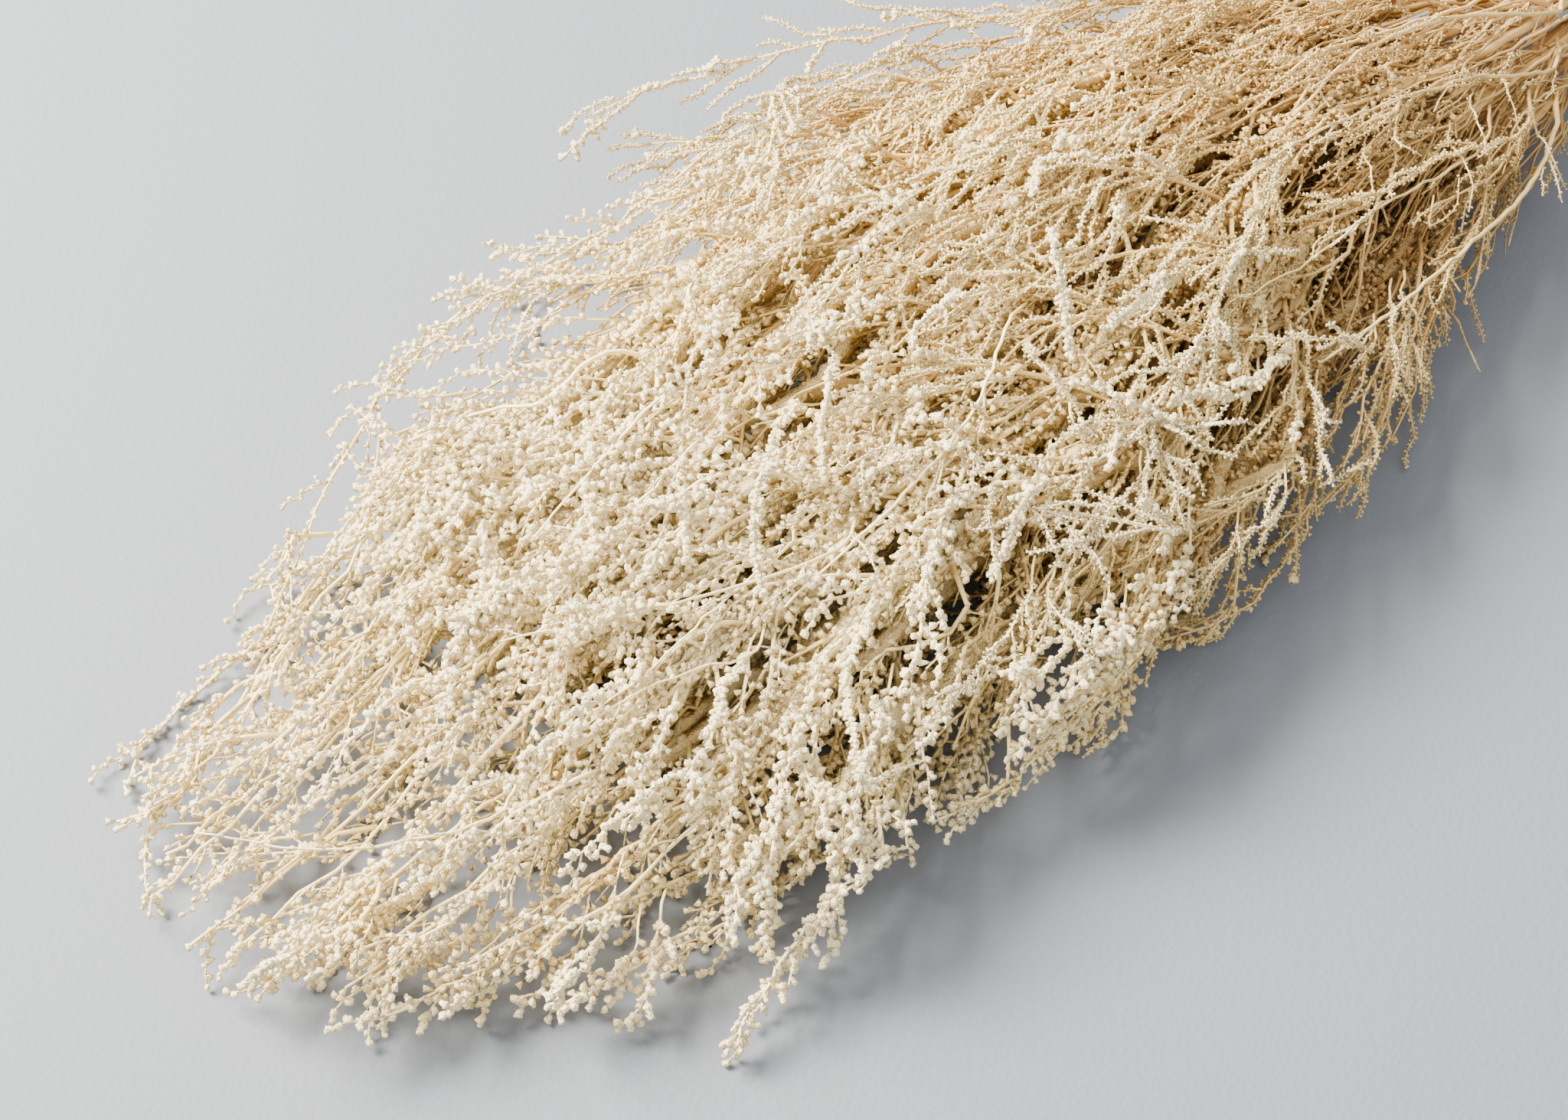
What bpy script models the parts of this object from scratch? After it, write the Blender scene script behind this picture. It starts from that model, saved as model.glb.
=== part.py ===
"""A tied bunch of dried, bleached stoebe, lying on a surface.

Metres, +Z up. The bunch runs along +Y from the cut ends to the tips, and the origin is on the surface, under
the middle of the tie. Each stem is one solid, with its lumpy heart and the knobbly twigs that stand out of it.
A stem keeps to its own share of the bunch, so that no twig runs into the next stem.
"""

import math
import random

import bmesh
import bpy
import numpy as np
from mathutils import Matrix

# Stems at the tie
STEM_COUNT = 22
STEM_RADIUS = 0.00195
STEM_PITCH = 0.0042
STEM_SIDES = 6
BUTT_Y = -0.066
BUTT_STAGGER = 0.009
TIE_HALF_Y = 0.010

# The bunch's shape, at stations along it: how far the outermost stems stand from its middle, and where that is
SHAPE_Y = (-0.075, -0.012, 0.012, 0.05, 0.11, 0.18, 0.27, 0.38, 0.50, 0.60, 0.70)
HALF_WIDTH = (0.0120, 0.00963, 0.00963, 0.0130, 0.0240, 0.0440, 0.0680, 0.0850, 0.0840, 0.0600, 0.0480)
HALF_HEIGHT = (0.0105, 0.00963, 0.00963, 0.0120, 0.0180, 0.0270, 0.0340, 0.0330, 0.0240, 0.0130, 0.0110)
MID_X = (0.0, 0.0, 0.0, 0.0, 0.002, 0.007, 0.016, 0.016, 0.013, 0.008, 0.008)
MID_Z = (0.0138, 0.0143, 0.0143, 0.0157, 0.0230, 0.0320, 0.0385, 0.0375, 0.0285, 0.0165, 0.0140)
SAG = (0.0, 0.0, 0.0, 0.05, 0.15, 0.25, 0.32, 0.34, 0.30, 0.20, 0.10)
FRINGE_SHARE = (0.12, 0.62)

# How a stem wanders within its share, and where it ends
WANDER = 0.15
WANDER_WAVE = 0.23
WANDER_FROM_Y = 0.03
WANDER_OVER = 0.12
FRONT_Y = 0.640
FRONT_X = 0.020
FRONT_CURVE = 11.0
REACH_SPREAD = 0.025

# The lumpy heart of a stem's spray, which its twigs stand out of
OUTER_STEP = 0.021
INNER_STEP = 0.032
BARE_Y = 0.055
HEART_FROM_Y = 0.100
HEART_GROWS = 0.09
HEART_FADES = 0.13
HEART_RADIUS = 0.0052
HEART_SHARE = 0.56
HEART_LUMP = 0.55
TIP_RADIUS = 0.0019

# Side branches and the tufts along them
OUTER_BRANCHES = 7
INNER_BRANCHES = 3
OUTWARD_SPREAD = 1.7
BRANCH_SIDES = 3
FIRST_BRANCH_Y = 0.085
LAST_BRANCH_BACK = 0.016
PAST_TIP = 0.006
LONGEST_BRANCH = 0.120
SHORTEST_BRANCH = 0.040
BRANCH_FLARE = 0.44
BRANCH_BOW = 1.7
BRANCH_SWAY = 0.05
BRANCH_SWINGS = 1.1
BRANCH_DROOP = 0.010
BRANCH_TAPER = 0.25
TUFT_PITCH = 0.0192
TUFT_RADIUS = 0.0032
TWIG_RADIUS = 0.0010
ROOM = 0.0003
GOLDEN_ANGLE = math.pi * (3 - math.sqrt(5))

# The sprays that stand out of the bunch: the stem's number, where along it the spray leaves, and three points that
# it passes through, the last one its tip
STRAY_FRINGE = 1.2
STRAYS = (
    (17, 0.170, (0.085, 0.262, 0.056), (0.125, 0.325, 0.054), (0.156, 0.384, 0.043)),
    (16, 0.210, (0.096, 0.300, 0.033), (0.125, 0.350, 0.034), (0.150, 0.381, 0.032)),
    (16, 0.340, (0.128, 0.430, 0.027), (0.124, 0.490, 0.025), (0.087, 0.563, 0.012)),
    (17, 0.330, (0.105, 0.400, 0.052), (0.114, 0.455, 0.046), (0.119, 0.494, 0.037)),
    (21, 0.150, (0.055, 0.205, 0.064), (0.076, 0.250, 0.064), (0.095, 0.288, 0.058)),
    (20, 0.500, (0.090, 0.550, 0.014), (0.088, 0.595, 0.017), (0.073, 0.620, 0.022)),
    (10, 0.520, (-0.040, 0.560, 0.026), (-0.038, 0.595, 0.020), (-0.029, 0.622, 0.006)),
    (15, 0.450, (-0.078, 0.500, 0.020), (-0.088, 0.535, 0.015), (-0.092, 0.558, 0.006)),
    (15, 0.350, (-0.085, 0.405, 0.021), (-0.091, 0.445, 0.014), (-0.087, 0.473, 0.006)),
    (15, 0.200, (-0.058, 0.245, 0.030), (-0.075, 0.285, 0.021), (-0.083, 0.314, 0.008)),
    (19, 0.330, (-0.065, 0.365, 0.009), (-0.082, 0.400, 0.007), (-0.091, 0.427, 0.005)),
    (19, 0.190, (-0.045, 0.215, 0.012), (-0.060, 0.242, 0.010), (-0.071, 0.268, 0.006)),
)

# The twine round the stems
TWINE_RADIUS = 0.0012
TWINE_GAP = 0.0003
TWINE_TURNS = 5
TWINE_STEPS = 12
TWINE_SIDES = 5
KNOT_SIZE = (0.0042, 0.0066, 0.0030)
TAIL_SPREAD = (0.019, 0.012, 0.007)
TAIL_STEPS = 4
BLOCK_SIZE = 0.06

BLEACHED_TUFT = (0.90, 0.84, 0.68, 1.0)
JUTE = (0.52, 0.38, 0.22, 1.0)


def clear_scene():
    """Removes whatever the scene holds."""
    for obj in list(bpy.data.objects):
        bpy.data.objects.remove(obj, do_unlink=True)


def ease(value):
    """From 0 to 1, level at both ends."""
    value = min(1.0, max(0.0, value))
    return value * value * (3 - 2 * value)


def along(values, y):
    """The value at y on a smooth line through the values at the shape's stations, with no swell between them."""
    secants = np.diff(values) / np.diff(SHAPE_Y)
    before, after = secants[:-1], secants[1:]
    same = before * after > 0
    inner = np.where(same, 2 * before * after / np.where(same, before + after, 1), 0)
    slopes = np.concatenate(([secants[0]], inner, [secants[-1]]))
    i = int(np.clip(np.searchsorted(SHAPE_Y, y) - 1, 0, len(SHAPE_Y) - 2))
    span = SHAPE_Y[i + 1] - SHAPE_Y[i]
    t = min(1.0, max(0.0, (y - SHAPE_Y[i]) / span))
    return (
        (2 * t**3 - 3 * t**2 + 1) * values[i]
        + (t**3 - 2 * t**2 + t) * span * slopes[i]
        + (3 * t**2 - 2 * t**3) * values[i + 1]
        + (t**3 - t**2) * span * slopes[i + 1]
    )


def packed_seeds():
    """Where the stems stand in the tie: the innermost places of a close packing, centred between two of them."""
    places = []
    for row in range(-5, 6):
        for column in range(-5, 6):
            x = (column + 0.5 * (row % 2) + 0.5) * STEM_PITCH
            z = row * STEM_PITCH * math.sqrt(3) / 2
            places.append((round(math.hypot(x, z), 6), math.atan2(z, x), x, z))
    places.sort()
    return [(x, z) for _, _, x, z in places[:STEM_COUNT]]


SEEDS = packed_seeds()
BUNDLE_RADIUS = max(math.hypot(x, z) for x, z in SEEDS)


def seed_at(stem, y):
    """A stem's place in the section that the tie has, with its wandering further on."""
    x, z = SEEDS[stem]
    rng = random.Random(100 + stem)
    turn = rng.uniform(0, 2 * math.pi)
    reach = WANDER * STEM_PITCH * ease((y - WANDER_FROM_Y) / WANDER_OVER)
    swing = 2 * math.pi * y / WANDER_WAVE
    return x + reach * math.sin(swing + turn), z + reach * math.cos(0.8 * swing + 2 * turn)


def stretch_at(y, height):
    """How much wider and higher the section at y is than at the tie. The bunch sags where it lies, so it is
    widest low down: height is the place in the tie's section, up from its middle."""
    across = along(HALF_WIDTH, y) / BUNDLE_RADIUS * (1 - along(SAG, y) * height / BUNDLE_RADIUS)
    return across, along(HALF_HEIGHT, y) / BUNDLE_RADIUS


def stem_point(stem, y):
    """The stem's middle at y."""
    x, z = seed_at(stem, y)
    across, up = stretch_at(y, z)
    return np.array((along(MID_X, y) + x * across, y, along(MID_Z, y) + z * up))


def stem_reach(stem):
    """How far along the bunch a stem's own tip lies: the front is an arc."""
    rng = random.Random(200 + stem)
    side = stem_point(stem, FRONT_Y)[0] - FRONT_X
    return FRONT_Y - FRONT_CURVE * side * side - REACH_SPREAD * rng.random()


def is_outer(stem):
    """Whether the stem stands on the outside of the bunch, with fewer than six others round it."""
    x, z = SEEDS[stem]
    return sum(math.hypot(x - a, z - b) < 1.1 * STEM_PITCH for a, b in SEEDS) < 7


def kept_clear(stem, point, radius, fringe):
    """The point, moved back where a twig of that radius would leave its stem's share, the bunch or the surface.
    fringe says how far past the outermost stems the twig may stand."""
    x, y, z = point
    mid_x, mid_z, up = along(MID_X, y), along(MID_Z, y), along(HALF_HEIGHT, y) / BUNDLE_RADIUS
    own = seed_at(stem, y)
    others = [seed_at(other, y) for other in range(STEM_COUNT) if other != stem]
    for _ in range(8):
        across = stretch_at(y, (z - mid_z) / up)[0]
        out = math.hypot((x - mid_x) / across, (z - mid_z) / up) / BUNDLE_RADIUS / (1 + fringe)
        if out > 1:
            x, z = mid_x + (x - mid_x) / out, mid_z + (z - mid_z) / out
        for other in others:
            toward = np.array((other[0] - own[0], other[1] - own[1]))
            normal = toward / (across, up)
            steepness = np.linalg.norm(normal)
            middle = (np.array(own) + other) / 2
            left = (middle - ((x - mid_x) / across, (z - mid_z) / up)) @ toward / steepness
            if left < radius + ROOM:
                x, z = np.array((x, z)) + normal / steepness * (left - radius - ROOM)
        z = max(z, radius)
    return np.array((x, y, z))


def stem_line(stem):
    """The points and radii of a stem, from its cut end to its tip."""
    rng = random.Random(300 + stem)
    reach = stem_reach(stem)
    butt = BUTT_Y - BUTT_STAGGER * rng.random()
    step = OUTER_STEP if is_outer(stem) else INNER_STEP
    steps = round((reach - HEART_FROM_Y) / step)
    stations = [butt, -TIE_HALF_Y, TIE_HALF_Y, BARE_Y]
    stations += [HEART_FROM_Y + (reach - HEART_FROM_Y) * k / steps for k in range(steps + 1)]
    points, radii = [], []
    for count, y in enumerate(stations):
        own = stem_point(stem, y)
        nearest = min(np.linalg.norm(own - stem_point(o, y)) for o in range(STEM_COUNT) if o != stem)
        lump = 1 + HEART_LUMP * (1 if count % 2 else -1) * rng.uniform(0.7, 1.0)
        swell = ease((y - HEART_FROM_Y) / HEART_GROWS) * ease((reach - y) / HEART_FADES)
        heart = min(HEART_RADIUS, HEART_SHARE * nearest / 2, own[2] / (1 + HEART_LUMP))
        bare = STEM_RADIUS + (TIP_RADIUS - STEM_RADIUS) * ease(y / reach)
        points.append(own)
        radii.append((bare + (heart - bare) * swell) * (lump if y > HEART_FROM_Y + step / 2 else 1))
    return points, radii


def bowed(stem, start, length, azimuth, flare, shift):
    """The course of a side branch: it leaves its stem forwards, bows out and runs on beside it."""
    def course(share):
        out = flare * length * (1 - (1 - share) ** BRANCH_BOW)
        swing = math.sin(2 * math.pi * BRANCH_SWINGS * share + shift) - math.sin(shift)
        sway = BRANCH_SWAY * length * swing
        return stem_point(stem, start + length * share) + np.array((
            out * math.cos(azimuth) - sway * math.sin(azimuth),
            0,
            out * math.sin(azimuth) + sway * math.cos(azimuth) - BRANCH_DROOP * share**2,
        ))
    return course


def bent(stem, start, *places):
    """The course of a stray spray, from its stem through three places, and its length."""
    stations = np.array((stem_point(stem, start), *places))

    def course(share):
        t = 3 * share
        weights = (
            (1 - t) * (2 - t) * (3 - t) / 6,
            t * (2 - t) * (3 - t) / 2,
            t * (t - 1) * (3 - t) / 2,
            t * (t - 1) * (t - 2) / 6,
        )
        return np.array(weights) @ stations
    return course, float(np.linalg.norm(np.diff(stations, axis=0), axis=1).sum())


def tufted_line(stem, length, course, fringe):
    """The points and radii along a course, with a swelling for each tuft."""
    tufts = max(2, round(length / TUFT_PITCH))
    rings = 2 * tufts + 1
    points, radii = [], []
    for ring in range(rings):
        share = ring / (rings - 1)
        radius = (TUFT_RADIUS if ring % 2 else TWIG_RADIUS) * (1 - BRANCH_TAPER * share)
        point = course(share)
        points.append(kept_clear(stem, point, radius, fringe) if ring else point)
        radii.append(radius)
    return points, radii


def side_branches(stem):
    """Every side branch of a stem. They are longest low on the stem. Those of an inner stem turn round it by the
    golden angle, and those of an outer one swing from side to side on the half that faces out."""
    rng = random.Random(400 + stem)
    reach = stem_reach(stem)
    outer = is_outer(stem)
    strays = [stray[1:] for stray in STRAYS if stray[0] == stem + 1]
    count = OUTER_BRANCHES - len(strays) if outer else INNER_BRANCHES
    x, z = SEEDS[stem]
    outward = math.atan2(z, x)
    turn = rng.uniform(0, 2 * math.pi)
    lines = []
    for k in range(count):
        share = (k + rng.uniform(0.1, 0.9)) / count
        start = FIRST_BRANCH_Y + (reach - FIRST_BRANCH_Y - LAST_BRANCH_BACK) * share
        length = (LONGEST_BRANCH + (SHORTEST_BRANCH - LONGEST_BRANCH) * share) * rng.uniform(0.85, 1.15)
        length = min(length, reach + PAST_TIP - start)
        flare = BRANCH_FLARE * rng.uniform(0.7, 1.3)
        azimuth = turn + GOLDEN_ANGLE * k
        if outer:
            azimuth = outward + OUTWARD_SPREAD * math.sin(azimuth)
        fringe = rng.uniform(*FRINGE_SHARE)
        course = bowed(stem, start, length, azimuth, flare, rng.uniform(0, 6))
        lines.append(tufted_line(stem, length, course, fringe))
    for stray in strays:
        course, length = bent(stem, *stray)
        lines.append(tufted_line(stem, length, course, STRAY_FRINGE))
    return lines


def profile(name, sides):
    """A regular outline of radius 1 m, which a line's own radii scale down. It isn't part of the object."""
    outline = bpy.data.curves.new(name, "CURVE")
    outline.dimensions = "2D"
    spline = outline.splines.new("POLY")
    spline.points.add(sides - 1)
    for i in range(sides):
        angle = -2 * math.pi * i / sides
        spline.points[i].co = (math.cos(angle), math.sin(angle), 0, 1)
    spline.use_cyclic_u = True
    obj = bpy.data.objects.new(name, outline)
    obj.hide_render = True
    obj.display_type = "WIRE"
    return obj


def round_line(name, points, radii, outline, group):
    """A tube of changing radius through the points, as a curve object."""
    curve = bpy.data.curves.new(name, "CURVE")
    curve.dimensions = "3D"
    curve.bevel_mode = "OBJECT"
    curve.bevel_object = outline
    curve.use_fill_caps = True
    spline = curve.splines.new("POLY")
    spline.points.add(len(points) - 1)
    for place, point, radius in zip(spline.points, points, radii):
        place.co = (*point, 1)
        place.radius = radius
    obj = bpy.data.objects.new(name, curve)
    group.objects.link(obj)
    return obj


def as_closed_mesh(curve_obj, group):
    """The same shape as a mesh with its caps welded, in the curve's place."""
    graph = bpy.context.evaluated_depsgraph_get()
    mesh = bpy.data.meshes.new_from_object(curve_obj.evaluated_get(graph))
    shape = bmesh.new()
    shape.from_mesh(mesh)
    bmesh.ops.remove_doubles(shape, verts=shape.verts, dist=1e-6)
    shape.to_mesh(mesh)
    shape.free()
    name = curve_obj.name
    solid = bpy.data.objects.new(name + "_solid", mesh)
    solid.matrix_world = curve_obj.matrix_world
    group.objects.link(solid)
    bpy.data.objects.remove(curve_obj, do_unlink=True)
    solid.name = name
    return solid


def fused(body, repeats):
    """Joins the collection's solids to the body in one union, and removes them."""
    join = body.modifiers.new("Fuse", "BOOLEAN")
    join.operation = "UNION"
    join.solver = "MANIFOLD"
    join.operand_type = "COLLECTION"
    join.collection = repeats
    bpy.context.view_layer.update()
    graph = bpy.context.evaluated_depsgraph_get()
    mesh = bpy.data.meshes.new_from_object(body.evaluated_get(graph))
    body.modifiers.clear()
    body.data = mesh
    for obj in list(repeats.objects):
        bpy.data.objects.remove(obj, do_unlink=True)
    bpy.data.collections.remove(repeats)
    return body


def material(name, colour, roughness):
    """A plain finish."""
    made = bpy.data.materials.new(name)
    made.use_nodes = True
    shader = made.node_tree.nodes["Principled BSDF"]
    shader.inputs["Base Color"].default_value = colour
    shader.inputs["Roughness"].default_value = roughness
    shader.inputs["Metallic"].default_value = 0.0
    made.diffuse_color = colour
    return made


def new_collection(name):
    """A collection in the scene."""
    group = bpy.data.collections.new(name)
    bpy.context.scene.collection.children.link(group)
    return group


def make_stem(stem, bunch, stem_outline, branch_outline):
    """One stem with its heart and side branches, as one solid."""
    name = f"stem_{stem + 1:02d}"
    body_curve = round_line(name, *stem_line(stem), stem_outline, bunch)
    repeats = new_collection(name + "_branches")
    branch_curves = [
        round_line(f"{name}_branch_{k}", *line, branch_outline, repeats)
        for k, line in enumerate(side_branches(stem))
    ]
    bpy.context.view_layer.update()
    body = as_closed_mesh(body_curve, bunch)
    for curve in branch_curves:
        as_closed_mesh(curve, repeats)
    body = fused(body, repeats)
    body.data.materials.clear()
    body.data.materials.append(material(name + "_finish", BLEACHED_TUFT, 0.85))
    return body


def twine_point(turns, radius):
    """A point of the winding round the stems, turns from its start at the top."""
    pitch = 2 * TWINE_RADIUS + TWINE_GAP
    angle = math.pi / 2 + 2 * math.pi * turns
    return (radius * math.cos(angle), (turns - TWINE_TURNS / 2) * pitch, MID_Z[2] + radius * math.sin(angle))


def moved_to(group, obj):
    """The object, in that collection alone."""
    for old in list(obj.users_collection):
        old.objects.unlink(obj)
    group.objects.link(obj)
    return obj


def make_block():
    """The space under the surface that the bunch lies on, as a cutter."""
    bpy.ops.mesh.primitive_cube_add(size=BLOCK_SIZE, location=(0, 0, -BLOCK_SIZE / 2))
    block = moved_to(new_collection("cutters"), bpy.context.object)
    block.name = "under_the_surface"
    block.hide_render = True
    block.display_type = "WIRE"
    return block


def make_tie(bunch, outline):
    """Twine wound round the stems, with a knot on top and two short ends, resting on a flat underneath."""
    radius = (BUNDLE_RADIUS + STEM_RADIUS + ROOM + TWINE_RADIUS) / math.cos(math.pi / TWINE_STEPS)
    steps = TWINE_TURNS * TWINE_STEPS
    winding = [twine_point(i / TWINE_STEPS, radius) for i in range(steps + 1)]
    coil = round_line("twine_tie", winding, [TWINE_RADIUS] * len(winding), outline, bunch)
    repeats = new_collection("twine_tie_knot")
    knot_z = MID_Z[2] + radius + TWINE_RADIUS
    across, forward, down = TAIL_SPREAD
    tails = []
    for side in (-1, 1):
        shares = [i / TAIL_STEPS for i in range(TAIL_STEPS + 1)]
        tail = [(side * across * t, side * forward * t**2, knot_z + TWINE_RADIUS - down * t**2) for t in shares]
        tails.append(round_line(f"twine_tie_end_{side + 2}", tail, [TWINE_RADIUS] * len(tail), outline, repeats))
    bpy.context.view_layer.update()
    coil = as_closed_mesh(coil, bunch)
    for tail in tails:
        as_closed_mesh(tail, repeats)
    bpy.ops.mesh.primitive_ico_sphere_add(subdivisions=2, radius=1, location=(0, 0, knot_z))
    knot = moved_to(repeats, bpy.context.object)
    knot.name = "twine_tie_knot"
    knot.data.transform(Matrix.Diagonal((*KNOT_SIZE, 1)))
    coil = fused(coil, repeats)
    trim = coil.modifiers.new("Flat underside", "BOOLEAN")
    trim.operation = "DIFFERENCE"
    trim.object = make_block()
    coil.data.materials.clear()
    coil.data.materials.append(material("twine_finish", JUTE, 0.9))
    return coil


def main():
    """Builds the bunch."""
    clear_scene()
    bunch = new_collection("dried_stoebe")
    stem_outline = profile("stem_outline", STEM_SIDES)
    branch_outline = profile("branch_outline", BRANCH_SIDES)
    twine_outline = profile("twine_outline", TWINE_SIDES)
    for stem in range(STEM_COUNT):
        make_stem(stem, bunch, stem_outline, branch_outline)
    make_tie(bunch, twine_outline)
    for outline in (stem_outline, branch_outline, twine_outline):
        bpy.data.objects.remove(outline, do_unlink=True)


main()
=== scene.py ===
"""Dresses the tied bunch of dried, bleached stoebe. Each packed stem gets its finer spray of twigs, branchlets and leaf
tufts, grown by the rule that its solid has, and the tie gets its twisted twine. Metres, +Z up, the bunch along +Y.
"""

import logging
import math
import random
from dataclasses import dataclass, field
from enum import Enum

import bpy
import numpy as np
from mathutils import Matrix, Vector


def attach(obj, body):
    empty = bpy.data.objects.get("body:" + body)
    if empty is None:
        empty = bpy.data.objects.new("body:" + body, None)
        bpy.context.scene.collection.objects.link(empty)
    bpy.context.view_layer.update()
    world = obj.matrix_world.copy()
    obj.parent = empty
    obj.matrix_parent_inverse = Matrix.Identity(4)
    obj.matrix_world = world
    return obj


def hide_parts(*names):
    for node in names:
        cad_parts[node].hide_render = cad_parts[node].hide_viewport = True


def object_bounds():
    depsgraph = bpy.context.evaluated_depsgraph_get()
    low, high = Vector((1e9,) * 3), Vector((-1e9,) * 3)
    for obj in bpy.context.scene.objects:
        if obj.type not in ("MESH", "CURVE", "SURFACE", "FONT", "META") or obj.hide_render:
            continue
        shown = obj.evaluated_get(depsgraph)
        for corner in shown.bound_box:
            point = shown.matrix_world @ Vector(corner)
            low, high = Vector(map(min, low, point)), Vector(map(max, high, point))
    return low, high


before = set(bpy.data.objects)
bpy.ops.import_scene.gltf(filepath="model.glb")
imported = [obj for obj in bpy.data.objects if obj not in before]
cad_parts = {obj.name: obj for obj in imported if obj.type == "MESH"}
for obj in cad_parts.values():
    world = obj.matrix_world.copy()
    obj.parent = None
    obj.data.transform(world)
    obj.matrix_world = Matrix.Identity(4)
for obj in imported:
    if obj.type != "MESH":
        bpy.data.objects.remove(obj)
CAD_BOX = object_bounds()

LOG = logging.getLogger("stoebe")
FULL_TURN = 2 * math.pi
GOLDEN_ANGLE = math.pi * (3 - math.sqrt(5))
SIDES = TWIG_SIDES, TWINE_SIDES, STEM_SIDES = 3, 5, 7
FLOOR_GAP = 0.0014
CROSSING = -1.0
ANY_PHASE = 6
BRANCH, BRANCHLET = 1, 2
WANDER_SEED, REACH_SEED, BUTT_SEED, PACKED_SEED, FREE_SEED = 100, 200, 300, 400, 4000
SPRAY_SEED, FRAY_SEED = 700, 91
BOX_LOW, BOX_HIGH = (np.array(corner) for corner in CAD_BOX)

Array = np.ndarray
Point = tuple[float, float, float]
Colour = tuple[float, float, float, float]
Socket = bpy.types.NodeSocket
Inputs = dict[str | int, object]


def ease(value: float | Array) -> float | Array:
    """A step that is level at both ends.

    Args:
        value: Where on the step, from 0 to 1. Anything outside is held at the ends.

    Returns:
        The height there, from 0 to 1.
    """
    value = np.clip(value, 0.0, 1.0)
    return value * value * (3 - 2 * value)


@dataclass(frozen=True)
class Rise:
    """A smooth step from 0 to 1."""

    start: float
    over: float

    def at(self, value: float | Array) -> float | Array:
        """The step's height at a value."""
        return ease((value - self.start) / self.over)


def cubic(i: Array, t: Array, span: Array, values: Array, slopes: Array) -> Array:
    """A cubic through values with given slopes.

    Args:
        i: The station before each place.
        t: How far on the place lies from there to the next station, from 0 to 1.
        span: How long that way is.
        values: The value at each station.
        slopes: The slope at each station.

    Returns:
        The value at each place.
    """
    return (
        (2 * t**3 - 3 * t**2 + 1) * values[i]
        + (t**3 - 2 * t**2 + t) * span * slopes[i]
        + (3 * t**2 - 2 * t**3) * values[i + 1]
        + (t**3 - t**2) * span * slopes[i + 1]
    )


def smooth_line(stations: tuple[float, ...], values: tuple[float, ...], y: float | Array) -> float | Array:
    """A smooth line through values at stations, with no swell between them.

    Args:
        stations: Where the values stand, rising.
        values: The value at each station.
        y: Where to read the line.

    Returns:
        The value at each y.
    """
    at, told = np.asarray(stations), np.asarray(values)
    secants = np.diff(told) / np.diff(at)
    before, after = secants[:-1], secants[1:]
    same = before * after > 0
    inner = np.where(same, 2 * before * after / np.where(same, before + after, 1), 0)
    slopes = np.concatenate(([secants[0]], inner, [secants[-1]]))
    i = np.clip(np.searchsorted(at, y) - 1, 0, len(at) - 2)
    span = at[i + 1] - at[i]
    return cubic(i, np.clip((y - at[i]) / span, 0.0, 1.0), span, told, slopes)


def unit(vectors: Array) -> Array:
    """The vectors at length 1."""
    return vectors / np.maximum(np.linalg.norm(vectors, axis=-1, keepdims=True), 1e-12)


def across_frame(tangents: Array) -> tuple[Array, Array]:
    """Two directions square to each tangent.

    Args:
        tangents: Unit vectors, one a row.

    Returns:
        The two sets of unit vectors.
    """
    first = unit(np.cross(tangents, np.array((0.31, -0.12, 0.94))))
    return first, np.cross(tangents, first)


def beside(tangents: Array, turns: Array) -> Array:
    """The direction square to each tangent, at its turn about it."""
    first, second = across_frame(tangents)
    return np.cos(turns)[:, None] * first + np.sin(turns)[:, None] * second


def run_along(points: Array) -> Array:
    """How far along a line each of its points lies."""
    return np.concatenate(([0.0], np.cumsum(np.linalg.norm(np.diff(points, axis=0), axis=1))))


def places_at(where: Array, run: Array, points: Array) -> Array:
    """The places that far along a line, which has these points at these runs."""
    return np.stack([np.interp(where, run, column) for column in points.T], axis=-1)


def vertex_places(mesh: bpy.types.Mesh) -> Array:
    """The places of a mesh's vertices, one a row."""
    places = np.empty(3 * len(mesh.vertices))
    mesh.vertices.foreach_get("co", places)
    return places.reshape(-1, 3)


def bare_selection() -> None:
    """Deselects every object, and leaves edit mode."""
    if bpy.context.object is not None and bpy.context.object.mode != "OBJECT":
        bpy.ops.object.mode_set(mode="OBJECT")
    bpy.ops.object.select_all(action="DESELECT")


def pick_only(*objects: bpy.types.Object) -> None:
    """Selects these objects alone, with the first one active.

    Args:
        objects: What to select.
    """
    bare_selection()
    for obj in objects:
        obj.select_set(True)
    bpy.context.view_layer.objects.active = objects[0]


def edit_all() -> None:
    """Goes into edit mode, with all of the active object selected."""
    bpy.ops.object.mode_set(mode="EDIT")
    bpy.ops.mesh.select_all(action="SELECT")


def in_box(points: Array, inside: float) -> Array:
    """The points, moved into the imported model's box and off the surface.

    Args:
        points: The points, one a row.
        inside: How far inside the box's sides they stay.

    Returns:
        The points in their new places.
    """
    kept = np.clip(points, BOX_LOW + inside, BOX_HIGH - inside)
    kept[:, 2] = np.maximum(kept[:, 2], FLOOR_GAP)
    return kept


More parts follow.
